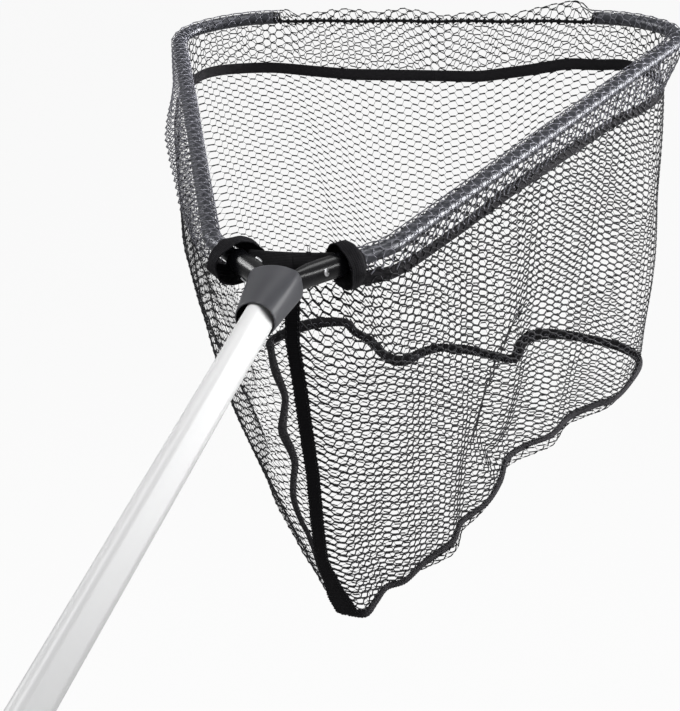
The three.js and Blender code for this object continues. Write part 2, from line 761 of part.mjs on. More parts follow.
for (const [side, label] of [[1, 'right'], [-1, 'left']]) {
  const from = cuffFrom(side);
  const to = cuffTo(side);
  const cuff = cut(
    toSolid(loft([cuffRing(from, cuffOuter, side), cuffRing(to, cuffOuter, side)])),
    toSolid(loft([cuffRing(from - 1, cuffRadius, side), cuffRing(to + 1, cuffRadius, side)])),
  );
  piece(`${label}_cuff`, toGeometry(cuff), webbing);
}

const strapBottom = strapTop - strapHeight;
const strapMiddle = strapEnd(1).add(strapEnd(-1)).multiplyScalar(0.5);
piece('rear_strap', sheet(
  (u, v) => strapEnd(-1).lerp(strapEnd(1), u).setZ(THREE.MathUtils.lerp(strapBottom, strapTop, v)),
  even(2), even(2), tapeThick), webbing);

// Bag: how deep the hem seam lies below the rim, by distance along the rim

function hemDepth(distance) {
  const t = THREE.MathUtils.smoothstep(distance, cornerFrom * 0.6, armLength + tipHalfGap * 0.5);
  return THREE.MathUtils.lerp(hemSide, hemFront, t);
}

// The casing's outline across the rim: an inverted U over the tube
const casingLegShare = 0.3;
const casingArcStops = even(6).map((t) => THREE.MathUtils.lerp(casingLegShare, 1 - casingLegShare, t));
const casingStops = [0, casingLegShare / 2, ...casingArcStops, 1 - casingLegShare / 2, 1];

function casingPoint(distance, side, v) {
  const { point, out } = rim(distance, side);
  const inLeg = Math.min(v, 1 - v) / casingLegShare;
  if (inLeg < 1) {
    const across = THREE.MathUtils.lerp(hemLeg, hemRadius, Math.sin((inLeg * Math.PI) / 2));
    return point.addScaledVector(out, v < 0.5 ? across : -across).setZ(-hemDepth(distance) * (1 - inLeg));
  }
  const angle = ((v - casingLegShare) / (1 - 2 * casingLegShare)) * Math.PI;
  return point.addScaledVector(out, hemRadius * Math.cos(angle)).setZ(hemRadius * Math.sin(angle));
}

// The floor's outline for the right side, from the rear corner to the middle of the front edge
const floorHalf = frontHalf - floorSideInset;
const floorFrontY = frontReach - floorFrontInset;
const floorLean = Math.atan2(floorHalf, floorFrontY - floorBackY);
const floorTangent = floorRound * Math.tan((Math.PI / 2 + floorLean) / 2);
const floorBendCentre = new THREE.Vector2(floorHalf, floorFrontY)
  .addScaledVector(heading(floorLean), -floorTangent)
  .addScaledVector(rightOf(floorLean), -floorRound);

function floorPath(grow) {
  const path = new THREE.Path();
  const bend = floorBendCentre.clone().addScaledVector(rightOf(floorLean), floorRound + grow);
  path.moveTo(0, floorBackY - grow / Math.sin(floorLean));
  path.lineTo(bend.x, bend.y);
  path.absarc(floorBendCentre.x, floorBendCentre.y, floorRound + grow, -floorLean, Math.PI / 2, false);
  path.lineTo(0, floorFrontY + grow);
  return path;
}

function floorOutline(grow) {
  const right = floorPath(grow).getPoints(4);
  const left = right.slice(1, -1).reverse().map((p) => new THREE.Vector2(-p.x, p.y));
  return [...right, ...left];
}

// The wall's top line for the right side: out along the strap, then under the casing
const netFrom = Math.max(cuffTo(1), cuffTo(-1)) + seatGap;
const wallTurn = rim(netFrom).point;
const backReach = Math.hypot(wallTurn.x, wallTurn.y - strapMiddle.y);
const wallLength = backReach + frontMiddle - netFrom;
const hemRise = 30;                             // the wall rises into the casing over this distance
const underCuff = -Math.max(cuffDrop + cuffOuter, hemSide) - seatGap;
const wallShare = (distance) => (backReach + distance - netFrom) / wallLength;

function wallTop(t) {
  const along = t * wallLength;
  if (along < backReach) {
    const share = along / backReach;
    const drop = THREE.MathUtils.smoothstep(share, 0, 0.4);
    const height = THREE.MathUtils.lerp(strapBottom - seatGap, underCuff, drop);
    return new THREE.Vector3(0, strapMiddle.y, 0).lerp(wallTurn, share).setZ(height);
  }
  const distance = netFrom + along - backReach;
  const ease = THREE.MathUtils.smoothstep(distance, netFrom, netFrom + hemRise);
  return rim(distance).point.setZ(THREE.MathUtils.lerp(underCuff, -hemDepth(distance) + hemTuck, ease));
}

// The wall stands straight by the hem tape and by the floor seam, and leans in between them
const straightShare = 0.1;                      // share of the wall's rows that stand straight, at each end
const leaningStops = even(4).map((t) => THREE.MathUtils.lerp(straightShare, 1 - straightShare, t));
const wallStops = [0, ...leaningStops, 1];

// The side walls' mesh is drawn as a plain grid of openings; the fine mesh is left to the looks
const meshColumns = 6;
const meshRows = 3;
const meshBar = 8;

// Where the openings of the grid begin and end, between two limits
function openingsBetween(from, to, count, bar) {
  const pitch = (to - from) / count;
  return even(count).slice(0, -1).map((t) => {
    const start = THREE.MathUtils.lerp(from, to, t);
    return [start + bar / 2, start + pitch - bar / 2];
  });
}
const isWithin = (openings, t) => openings.some(([from, to]) => t > from && t < to);

const leaningShare = 1 - 2 * straightShare;
const meshRowBar = meshBar * leaningShare / (floorDepth - seamWidth - hemSide - tapeWidth);
const rowOpenings = openingsBetween(straightShare, 1 - straightShare, meshRows, meshRowBar);
const meshStops = [0, straightShare, ...rowOpenings.flat(), 1 - straightShare, 1];
const floorLine = floorPath(0);

function wallPoint(t, v, side) {
  const top = wallTop(t);
  const foot = floorLine.getPointAt(t);
  const low = -floorDepth + seamWidth + seatGap;
  const high = top.z - hemTuck - tapeWidth - seatGap;
  if (v >= 1 - straightShare) {
    const z = THREE.MathUtils.lerp(top.z, high, (1 - v) / straightShare);
    return new THREE.Vector3(side * top.x, top.y, z);
  }
  if (v <= straightShare) {
    const z = THREE.MathUtils.lerp(-floorDepth + seatGap, low, v / straightShare);
    return new THREE.Vector3(side * foot.x, foot.y, z);
  }
  const share = (v - straightShare) / leaningShare;
  const x = THREE.MathUtils.lerp(foot.x, top.x, share);
  const y = THREE.MathUtils.lerp(foot.y, top.y, share);
  const nearSeam = Math.max(0, 1 - t * 6) ** 2;
  const bow = rearBow * nearSeam * 4 * share * (1 - share);
  return new THREE.Vector3(side * x, y - bow, THREE.MathUtils.lerp(low, high, share));
}

const tapeInside = (netThick + tapeThick) / 2 + seatGap;

function hemTapePoint(distance, side, v) {
  const { point, out } = rim(distance, side);
  const top = -hemDepth(distance) - seatGap;
  return point.addScaledVector(out, -tapeInside).setZ(THREE.MathUtils.lerp(top - tapeWidth, top, v));
}

// A sheet that follows the rim on one side
function rimSheet(name, side, from, to, vStops, thickness, material, pointAt) {
  const stops = rimStops(from, to);
  const uStops = stops.map((stop) => (stop - from) / (to - from));
  const surface = (u, v) => pointAt(THREE.MathUtils.lerp(from, to, u), side, v);
  piece(name, sheet(surface, uStops, vStops, thickness), material);
}

const seamShare = netThick / Math.sin(floorLean) / wallLength;
const sideTo = cornerFrom - seatGap;
const meshFrom = netFrom + hemRise;
const meshTo = sideTo - meshBar;
const meshColumnBar = meshBar / wallLength;
const columnOpenings = openingsBetween(wallShare(meshFrom), wallShare(meshTo), meshColumns, meshColumnBar);
const isMeshOpen = (u, v) => isWithin(columnOpenings, u) && isWithin(rowOpenings, v);
for (const [side, label] of [[1, 'right'], [-1, 'left']]) {
  const casingFrom = cuffTo(side) + seatGap;
  rimSheet(`${label}_casing_net`, side, casingFrom, sideTo, casingStops, netThick, netting, casingPoint);
  rimSheet(`${label}_hem_tape`, side, netFrom + hemRise, sideTo, even(2), tapeThick, webbing, hemTapePoint);
  const backStops = [seamShare, wallShare(netFrom) * 0.25, wallShare(netFrom) * 0.6];
  const rootStops = rimStops(netFrom, meshFrom).map(wallShare);
  const cornerStops = rimStops(meshTo, sideTo).map(wallShare);
  const uStops = [...backStops, ...rootStops, ...columnOpenings.flat(), ...cornerStops];
  const wall = sheet((u, v) => wallPoint(u, v, side), uStops, meshStops, netThick, isMeshOpen);
  piece(`${label}_wall_net`, wall, netting);
}

// The front runs from the left corner to the right one; from -1 to 1 across
const frontHalfSpan = frontMiddle - cornerFrom;
const frontStops = rimStops(cornerFrom, frontMiddle).map((stop) => (frontMiddle - stop) / frontHalfSpan);
const acrossStops = [...frontStops.map((stop) => -stop), ...frontStops.slice(0, -1).reverse()];
const frontAt = (u) => [frontMiddle - Math.abs(u) * frontHalfSpan, u < 0 ? -1 : 1];

const frontCasing = (u, v) => casingPoint(...frontAt(u), v);
const frontTape = (u, v) => hemTapePoint(...frontAt(u), v);
const frontWall = (u, v) => wallPoint(wallShare(frontAt(u)[0]), v, frontAt(u)[1]);
piece('front_casing_net', sheet(frontCasing, acrossStops, casingStops, netThick), netting);
piece('front_hem_tape', sheet(frontTape, acrossStops, even(2), tapeThick), webbing);
piece('front_wall_net', sheet(frontWall, acrossStops, wallStops, netThick), netting);

// Floor, floor seam tape and rear seam tape

function flatPlate(outline, hole, zBottom, height) {
  const shape = new THREE.Shape(outline);
  if (hole) shape.holes.push(new THREE.Path(hole));
  const geometry = new THREE.ExtrudeGeometry(shape, { depth: height, bevelEnabled: false });
  geometry.translate(0, 0, zBottom);
  return geometry;
}

const seamInside = netThick / 2 + seatGap;
const floorBottom = -floorDepth - netThick;
piece('floor_net', flatPlate(floorOutline(netThick / 2), null, floorBottom, netThick), netting);
piece('floor_seam_tape', flatPlate(
  floorOutline(seamInside + tapeThick), floorOutline(seamInside), floorBottom, seamWidth), webbing);

const seamStops = [...meshStops.slice(1, -1), 0.97];
const behindSeam = netThick + seatGap + tapeThick / 2;
piece('rear_seam_tape', sheet((u, v) => {
  const point = wallPoint(0, v, 1);
  return new THREE.Vector3((u - 0.5) * seamWidth, point.y - behindSeam, point.z);
}, even(2), seamStops, tapeThick), webbing);

const pondNet = new THREE.Group();
pondNet.add(head);
head.position.y = -gripCentre;

export default pondNet;
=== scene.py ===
# %% [markdown]
# # A telescopic pond net
# A pond net has three parts that a maker would build in turn: a handle of two tubes, a hub with two folding
# arms, and a bag of knotted netting sewn round the arms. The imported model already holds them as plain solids.
# Here the solids stay the frame, and each soft or shiny piece gets its real surface in the same place.

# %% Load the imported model
import math
import bpy
import numpy as np
from mathutils import Matrix, Vector


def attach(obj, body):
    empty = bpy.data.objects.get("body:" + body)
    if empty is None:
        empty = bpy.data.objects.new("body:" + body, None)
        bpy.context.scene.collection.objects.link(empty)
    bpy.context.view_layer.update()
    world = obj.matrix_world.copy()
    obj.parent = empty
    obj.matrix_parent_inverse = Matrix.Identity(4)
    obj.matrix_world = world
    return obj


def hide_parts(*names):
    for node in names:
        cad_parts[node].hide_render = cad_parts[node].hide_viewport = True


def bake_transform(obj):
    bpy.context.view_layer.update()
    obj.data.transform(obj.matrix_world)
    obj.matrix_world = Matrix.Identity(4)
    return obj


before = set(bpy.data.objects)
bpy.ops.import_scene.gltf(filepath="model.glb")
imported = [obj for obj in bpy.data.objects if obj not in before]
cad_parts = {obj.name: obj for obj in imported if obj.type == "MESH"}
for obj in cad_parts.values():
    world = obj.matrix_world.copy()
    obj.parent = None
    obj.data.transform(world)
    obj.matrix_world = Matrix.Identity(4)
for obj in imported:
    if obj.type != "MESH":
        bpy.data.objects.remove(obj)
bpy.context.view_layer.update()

# %% [markdown]
# ## One ruler for the whole net
# A maker measures this net in millimetres from the place where the two arms meet, so the numbers below do
# too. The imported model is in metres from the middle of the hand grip, 866 mm further back, and one small
# function turns the first into the second. Using one ruler keeps every new piece on the solid it dresses.

# %% Millimetres from the arm roots to metres in the frame
GRIP_TO_ROOTS = 866.0


def to_frame(points):
    return (np.asarray(points, float) + (0, GRIP_TO_ROOTS, 0)) / 1000


def from_frame(points):
    return np.asarray(points, float) * 1000 - (0, GRIP_TO_ROOTS, 0)


print("arm roots at", to_frame((0, 0, 0)).tolist())

# %% [markdown]
# ## The camera
# The photograph looks down on the net from behind the handle and a little to its right. The angles were
# found by matching the pole, the arm corners and the floor of the bag. A camera can be aimed with a
# constraint, but writing its axes straight into a matrix keeps the small roll of the picture exact.

# %% Camera
PICTURE = (680, 711)


def photo_camera(azimuth, elevation, roll, focal_pixels, target, distance):
    a, e, r = (math.radians(v) for v in (azimuth, elevation, roll))
    look = Vector((-math.sin(a) * math.cos(e), math.cos(a) * math.cos(e), -math.sin(e)))
    level = look.cross(Vector((0, 0, 1))).normalized()
    upright = level.cross(look)
    x_axis = level * math.cos(r) + upright * math.sin(r)
    y_axis = upright * math.cos(r) - level * math.sin(r)
    data = bpy.data.cameras.new("camera")
    data.sensor_fit, data.sensor_width = "HORIZONTAL", 36
    data.lens = focal_pixels / PICTURE[0] * data.sensor_width
    data.clip_start, data.clip_end = 0.02, 30
    camera = bpy.data.objects.new("camera", data)
    place = Vector(to_frame(target)) - look * distance / 1000
    camera.matrix_world = Matrix.Translation(place) @ Matrix((x_axis, y_axis, -look)).transposed().to_4x4()
    bpy.context.collection.objects.link(camera)
    bpy.context.scene.camera = camera
    return camera


camera = photo_camera(
    azimuth=16.9, elevation=29.9, roll=-5.6, focal_pixels=1688.8, target=(66.3, -93.1, 0), distance=1041.3)
print("camera at", [round(v, 3) for v in camera.matrix_world.translation], "lens", round(camera.data.lens, 1))

# %% [markdown]
# ## Writing shaders as sums
# A finish is a small sum: a base colour, a bit of noise, a bump. Node by node that is long to read, so a
# socket is wrapped in a class whose operators add the Math nodes. Every other node comes from one method
# that sets the node's own settings first and then its sockets.

# %% Shader sockets that can be added and multiplied
class Value:
    """One output of a shader node; sums and products of values add Math nodes."""

    def __init__(self, nodes, socket):
        self.nodes, self.socket = nodes, socket

    def _math(self, operation, *terms):
        return self.nodes.add("ShaderNodeMath", {"operation": operation}, dict(enumerate(terms)))

    def __add__(self, other):
        return self._math("ADD", self, other)

    def __sub__(self, other):
        return self._math("SUBTRACT", self, other)

    def __rsub__(self, other):
        return self._math("SUBTRACT", other, self)

    def __mul__(self, other):
        return self._math("MULTIPLY", self, other)

    __radd__, __rmul__ = __add__, __mul__

    def wave(self):
        """A smooth wave from 0 to 1, once for every 1 of the value."""
        return self._math("SINE", self * (2 * math.pi)) * 0.5 + 0.5

    def at_most(self, limit):
        return self._math("MINIMUM", self, limit)


class Nodes:
    """A node tree that is built up node by node."""

    def __init__(self, tree):
        self.tree = tree

    def add(self, kind, settings=None, sockets=None, output=0):
        node = self.tree.nodes.new(kind)
        for key, value in (settings or {}).items():
            setattr(node, key, value)
        self.fill(node, sockets or {})
        return Value(self, node.outputs[output])

    def fill(self, node, sockets):
        for key, value in sockets.items():
            if isinstance(value, Value):
                self.tree.links.new(value.socket, node.inputs[key])
            else:
                node.inputs[key].default_value = value


class Finish(Nodes):
    """A material with one main shader."""

    def __init__(self, name):
        self.material = bpy.data.materials.new(name)
        self.material.use_nodes = True
        super().__init__(self.material.node_tree)
        self.shader = self.tree.nodes["Principled BSDF"]

    def surface(self, **sockets):
        self.fill(self.shader, {key.replace("_", " "): value for key, value in sockets.items()})
        return self.material

    def mix(self, first, second, factor):
        return self.add("ShaderNodeMix", {"data_type": "RGBA"}, {0: factor, 6: first, 7: second}, 2)

    def place(self, scale=(1, 1, 1)):
        here = self.add("ShaderNodeTexCoord", output="Object")
        return self.add("ShaderNodeMapping", {"vector_type": "POINT"}, {"Vector": here, "Scale": scale})

    def noise(self, scale, detail=3, stretch=(1, 1, 1)):
        sockets = {"Vector": self.place(stretch), "Scale": scale, "Detail": detail}
        return self.add("ShaderNodeTexNoise", {}, sockets, "Fac")

    def along_cloth(self, output=0):
        """How far along, or across, a woven tape, in millimetres."""
        here = self.add("ShaderNodeUVMap", {"uv_map": "cloth"})
        return self.add("ShaderNodeSeparateXYZ", {}, {"Vector": here}, output)

    def bump(self, height, distance, strength=1.0):
        return self.add("ShaderNodeBump", {}, {"Strength": strength, "Distance": distance, "Height": height})


def colour(red, green, blue):
    return (red, green, blue, 1.0)


print("shader helpers ready")

# %% [markdown]
# ## Metal and plastic finishes
# The pole is satin anodised aluminium, drawn lengthwise, so its fine lines run along Y. The arms are coated
# almost black with a blue cast, the sleeve is grey moulded plastic with a faint grain, and the roots are
# glossy black. A picture could be wrapped round each piece, but noise in three dimensions needs no
# unwrapping and has no seam. It changes colour and roughness a little, because a real surface is never one
# number all over. An anodised skin scatters light, so the pole is mostly a pale shader with a little metal.

# %% Pole aluminium
def pole_aluminium():
    f = Finish("pole_aluminium")
    drawn = f.noise(900, 2, (1, 0.012, 1))
    cloudy = f.noise(18, 3)
    base = f.mix(colour(0.92, 0.923, 0.927), colour(0.97, 0.971, 0.973), cloudy)
    return f.surface(
        Base_Color=base, Metallic=0.12, Roughness=drawn * 0.10 + cloudy * 0.06 + 0.30,
        Normal=f.bump(drawn, 0.00003, 0.2))


aluminium = pole_aluminium()
print("made", aluminium.name)

# %% Black coated tube
def coated_tube():
    f = Finish("black_coated_tube")
    peel, dust = f.noise(620, 2), f.noise(60, 4)
    base = f.mix(colour(0.006, 0.007, 0.011), colour(0.018, 0.020, 0.030), dust)
    return f.surface(
        Base_Color=base, Roughness=dust * 0.12 + 0.34, Specular_IOR_Level=1.0, IOR=1.62,
        Specular_Tint=colour(0.93, 0.94, 1.0), Normal=f.bump(peel, 0.00006, 0.35))


black_tube = coated_tube()
print("made", black_tube.name)

# %% Moulded plastics
def moulded(name, dark, light, rough, grain):
    f = Finish(name)
    fine, mottled = f.noise(grain, 2), f.noise(45, 4)
    base = f.mix(colour(*dark), colour(*light), mottled)
    return f.surface(
        Base_Color=base, Roughness=mottled * 0.10 + fine * 0.04 + rough, Normal=f.bump(fine, 0.00008, 0.4))


grey_plastic = moulded("grey_plastic", (0.055, 0.056, 0.064), (0.082, 0.083, 0.093), rough=0.28, grain=1500)
black_plastic = moulded("black_plastic", (0.002, 0.002, 0.003), (0.006, 0.006, 0.008), rough=0.20, grain=1100)
print("made", grey_plastic.name, "and", black_plastic.name)

# %% Bright steel and foam
def bright_steel():
    f = Finish("rivet_steel")
    scuffs = f.noise(700, 3)
    base = f.mix(colour(0.74, 0.75, 0.77), colour(0.94, 0.94, 0.95), scuffs)
    return f.surface(Base_Color=base, Metallic=0.85, Roughness=scuffs * 0.2 + 0.34)


def foam_rubber():
    f = Finish("foam_grip")
    sockets = {"Vector": f.place(), "Scale": 900}
    cells = f.add("ShaderNodeTexVoronoi", {"feature": "F1"}, sockets, "Distance")
    worn = f.noise(30, 4)
    base = f.mix(colour(0.012, 0.012, 0.013), colour(0.034, 0.034, 0.036), worn)
    return f.surface(Base_Color=base, Roughness=worn * 0.12 + 0.78, Normal=f.bump(cells, 0.0005, 0.6))


steel = bright_steel()
foam = foam_rubber()
print("made", steel.name, "and", foam.name)

# %% [markdown]
# ## Cloth finishes
# The netting is synthetic yarn in two weights: the twisted bars are dark, and the single threads between
# them catch the light and look grey. The loops that lie on the tubes are lit from above, so they get a paler
# copy of the same yarn, which is a painted highlight. The tapes are woven webbing with ribs across them.
# Noise has no direction of its own, so the weave is drawn from a map in millimetres along and across the
# tape, which turns with it round every bend.

# %% Netting yarn
def yarn(name, dark, light, rough):
    f = Finish(name)
    fibres, patches = f.noise(2600, 2), f.noise(25, 3)
    base = f.mix(colour(*dark), colour(*light), fibres * 0.6 + patches * 0.4)
    return f.surface(
        Base_Color=base, Roughness=fibres * 0.2 + rough, Specular_IOR_Level=0.25,
        Normal=f.bump(fibres, 0.0001, 0.5))


bar_yarn = yarn("netting_bars", (0.003, 0.003, 0.004), (0.012, 0.012, 0.015), rough=0.55)
thread_yarn = yarn("netting_threads", (0.010, 0.010, 0.012), (0.040, 0.040, 0.046), rough=0.45)
# A paler copy of the same netting yarn, for loops lit from above: painted highlight.
painted_lit_yarn = yarn("netting_painted_highlight", (0.12, 0.12, 0.14), (0.30, 0.30, 0.34), rough=0.40)
print("made", bar_yarn.name, thread_yarn.name, painted_lit_yarn.name)

# %% Woven tape
def woven_tape(name, dark, light, rib, streaky=0.4):
    """Ribs across the tape, rib millimetres apart, and streaks along it."""
    f = Finish(name)
    along, across = f.along_cloth(0), f.along_cloth(1)
    ribs, ends = (along * (1 / rib)).wave(), (across * 0.83).wave()
    weave = ribs * (1 - streaky) + ends * streaky
    lint = f.noise(350, 4)
    base = f.mix(colour(*dark), colour(*light), weave * 0.6 + lint * 0.4)
    return f.surface(
        Base_Color=base, Roughness=lint * 0.1 + 0.8, Specular_IOR_Level=0.12,
        Normal=f.bump(weave, 0.0003, 0.7))


tape = woven_tape("webbing_tape", (0.006, 0.006, 0.007), (0.042, 0.040, 0.044), rib=0.9)
strap_web = woven_tape("strap_webbing", (0.014, 0.014, 0.015), (0.070, 0.069, 0.074), rib=0.9, streaky=0.8)
knit = woven_tape("knit_binding", (0.003, 0.003, 0.004), (0.022, 0.021, 0.024), rib=1.6)
binding = woven_tape("seam_binding", (0.0015, 0.0015, 0.002), (0.009, 0.008, 0.010), rib=1.6)
print("made", tape.name, strap_web.name, knit.name, binding.name)

# %% [markdown]
# ## From numbers to meshes
# Every new piece is a list of points and faces worked out in numbers. One function joins such lists into
# a mesh, gives each list its own finish, and stores the millimetre map of a tape. Building from numbers
# instead of modelling by hand means a hem, its tape and its stitches can all follow one and the same line.

# %% Numbers along lines
def lerp(a, b, t):
    return a + (b - a) * t


def eased(value, low, high):
    t = np.clip((value - low) / (high - low), 0, 1)
    return t * t * (3 - 2 * t)


def unit(vectors):
    return vectors / np.maximum(np.linalg.norm(vectors, axis=-1, keepdims=True), 1e-9)


def turns(sides):
    """Angles evenly spread round a full turn."""
    return np.arange(sides) * 2 * math.pi / sides


def distance_along(line):
    """How far each point of a line is from its start, measured along the line."""
    return np.concatenate([[0], np.cumsum(np.linalg.norm(np.diff(line, axis=0), axis=1))])


def read_table(place, table):
    """A value read from a list of (place, value) pairs, in a straight line between them."""
    return np.interp(place, *np.array(table, float).T)


def read_rows(place, along, rows):
    """The same for whole rows of numbers, such as the points of a line, that lie at these places along it."""
    return np.stack([np.interp(place, along, rows[:, i]) for i in range(rows.shape[1])], -1)


print("a full turn in quarters:", turns(4).round(2).tolist())

# %% Mesh helpers
def make_piece(name, chunks, finishes, cloth_map=None):
    """chunks: (points, faces, finish number) lists that become one mesh."""
    points = np.concatenate([c[0].reshape(-1, 3) for c in chunks])
    faces, numbers, start = [], [], 0
    for chunk_points, chunk_faces, number in chunks:
        faces += [[start + int(i) for i in face] for face in chunk_faces]
        numbers += [number] * len(chunk_faces)
        start += chunk_points.reshape(-1, 3).shape[0]
    mesh = bpy.data.meshes.new(name)
    mesh.from_pydata(to_frame(points).tolist(), [], faces)
    for finish in finishes:
        mesh.materials.append(finish)
    mesh.polygons.foreach_set("material_index", numbers)
    mesh.polygons.foreach_set("use_smooth", [True] * len(faces))
    if cloth_map is not None:
        corners = np.zeros(len(mesh.loops), int)
        mesh.loops.foreach_get("vertex_index", corners)
        mesh.uv_layers.new(name="cloth").data.foreach_set("uv", cloth_map[corners].ravel())
    mesh.update()
    piece = bpy.data.objects.new(name, mesh)
    bpy.context.collection.objects.link(piece)
    return piece


def skin(rows, columns):
    """Faces over a row of rings of points, each ring closed."""
    index = np.arange(rows * columns).reshape(rows, columns)
    beside = np.roll(index, -1, 1)
    return np.stack([index[:-1], beside[:-1], beside[1:], index[1:]], -1).reshape(-1, 4)


def capped(rows, columns):
    """The same skin with a flat end on its first and last ring."""
    last = (rows - 1) * columns
    ends = [list(range(columns))[::-1], [last + i for i in range(columns)]]
    return skin(rows, columns).tolist() + ends


def sweep(path, across, upward, outline):
    """An outline of (across, up) pairs carried along a path."""
    outline = np.asarray(outline, float)
    if outline.ndim == 2:
        outline = np.broadcast_to(outline, (len(path),) + outline.shape)
    return path[:, None] + outline[..., :1] * across[:, None] + outline[..., 1:] * upward[:, None]


def circle(radius, sides, stretch=1.0):
    """An outline for sweep(), stretched upwards into an oval if asked."""
    turn = turns(sides)
    return np.stack([radius * np.cos(turn), radius * stretch * np.sin(turn)], -1)


def rigid_piece(name, chunks, finishes, body, node):
    """A hard piece that rides on one body and takes the place of one solid."""
    piece = make_piece(name, chunks, finishes)
    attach(piece, body)
    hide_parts(node)
    print(f"{name}: {len(piece.data.polygons)} faces")


print("a band of 3 rings with 8 points each has", len(skin(3, 8)), "faces")

# %% [markdown]
# ## The rim
# Hem, tape and tubes all follow one line: out of the hub, round the root bend, along the straight arm, round
# the corner, in along the tip, and across the front on a cord. It is drawn once from lines and arcs for the
# right side, stored with the distance along it, and mirrored for the left.

# %% Rim line
FRONT_HALF = 228.0
FRONT_REACH = 523.6
TIP_INSET = 80.0
ROOT = (20.0, 11.3)
ROOT_HEADING = math.radians(46)
ROOT_RUN = 63.4
ROOT_BEND = 45.0
CORNER_BEND = 40.0
CORNER_TURN = math.radians(45)
PAST_MIDDLE = -300.0
UP = np.array([0.0, 0.0, 1.0])


def heading(angle):
    return np.array([math.sin(angle), math.cos(angle)])


def right_of(angle):
    return np.array([math.cos(angle), -math.sin(angle)])


def arc(centre, radius, start, stop):
    turn = np.linspace(start, stop, 60)
    return centre + radius * np.stack([np.cos(turn), np.sin(turn)], -1)


def draw_rim():
    tip_half = FRONT_HALF - TIP_INSET
    tip_bend = (FRONT_HALF - CORNER_BEND * (1 - math.cos(CORNER_TURN)) - tip_half) / math.cos(CORNER_TURN)
    corner = np.array([
        FRONT_HALF - CORNER_BEND,
        FRONT_REACH - tip_bend * (1 - math.sin(CORNER_TURN)) - CORNER_BEND * math.sin(CORNER_TURN)])
    root = np.array(ROOT)
    bend = root + ROOT_RUN * heading(ROOT_HEADING)
    gap = corner - bend
    arm = math.atan2(*gap) + math.asin(CORNER_BEND / np.hypot(*gap))
    bend_start = bend - ROOT_BEND * math.tan((ROOT_HEADING - arm) / 2) * heading(ROOT_HEADING)
    bend_centre = bend_start - ROOT_BEND * right_of(ROOT_HEADING)
    runs = [
        root[None],
        arc(bend_centre, ROOT_BEND, -ROOT_HEADING, -arm),
        arc(corner, CORNER_BEND, -arm, CORNER_TURN),
        arc(np.array([tip_half, FRONT_REACH - tip_bend]), tip_bend, CORNER_TURN, math.pi / 2),
        np.array([[PAST_MIDDLE, FRONT_REACH]])]
    corners = np.concatenate(runs)
    along = distance_along(corners)
    keep = np.concatenate([[True], np.diff(along) > 1e-6])
    corners, along = corners[keep], along[keep]
    fine = np.arange(0, along[-1], 0.5)
    marks = [
        along[np.argmin(np.linalg.norm(corners - place, axis=1))]
        for place in (runs[2][0], runs[3][0], runs[3][-1])]
    return fine, read_rows(fine, along, corners), marks


rim_along, rim_line, (CORNER_FROM, TIP_FROM, ARM_LENGTH) = draw_rim()
FRONT_MIDDLE = ARM_LENGTH + FRONT_HALF - TIP_INSET


def rim(distance, side):
    """Points of the rim with the way out of the bag and the way along it."""
    d = np.asarray(distance, float)
    flip = (side, 1)
    place = read_rows(d, rim_along, rim_line) * flip
    way = (read_rows(d + 1, rim_along, rim_line) - read_rows(d - 1, rim_along, rim_line)) * flip
    level = np.zeros_like(d)[..., None]
    along = unit(np.concatenate([way, level], -1))
    out = side * np.cross(along, UP)
    return np.concatenate([place, level], -1), out, along


print("arm length", round(ARM_LENGTH, 1), "mm; hub to front middle", round(FRONT_MIDDLE, 1), "mm")

# %% [markdown]
# ## Folding cloth
# When the sleeve slides back, both arms swing in and the netting between them has to close up like a
# curtain. For each point of a half of the bag the code works out a share of its own arm's turn, never more
# than what brings it close to the middle, so the two halves wouldn't pass through each other. That share is
# worked out here but not stored.

# %% How each point of the bag folds
PIVOT_X, PIVOT_Y = 8.8, -14.0
FOLD_TURN = math.radians(22.01)
GATHER = 0.10
FRONT_STRIP = 12.0
ARMS = {1: "right_arm", -1: "left_arm"}
SIDES = {1: "right", -1: "left"}


def fold_with_arm(piece, side, held=None):
    """Works out each point's share of its arm's turn for a half of the bag, without storing it; held says where
    it sits fast on the arm.
    """
    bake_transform(piece)
    points = np.zeros(len(piece.data.vertices) * 3)
    piece.data.vertices.foreach_get("co", points)
    points = from_frame(points.reshape(-1, 3))
    x, y = side * points[:, 0], points[:, 1]
    reach = np.hypot(x - PIVOT_X, y - PIVOT_Y)
    wanted = np.arcsin(np.clip((GATHER * x - PIVOT_X) / reach, -1, 1))
    share = np.clip((np.arctan2(x - PIVOT_X, y - PIVOT_Y) - wanted) / FOLD_TURN, 0, 1)
    if held is not None:
        fast = np.where(y > FRONT_REACH - FRONT_STRIP, np.clip(x / (FRONT_HALF - TIP_INSET), 0, 1), 1.0)
        share = lerp(share, np.maximum(share, fast), held(points))
    return piece


print("folding: each half turns up to", round(math.degrees(FOLD_TURN), 1), "degrees")
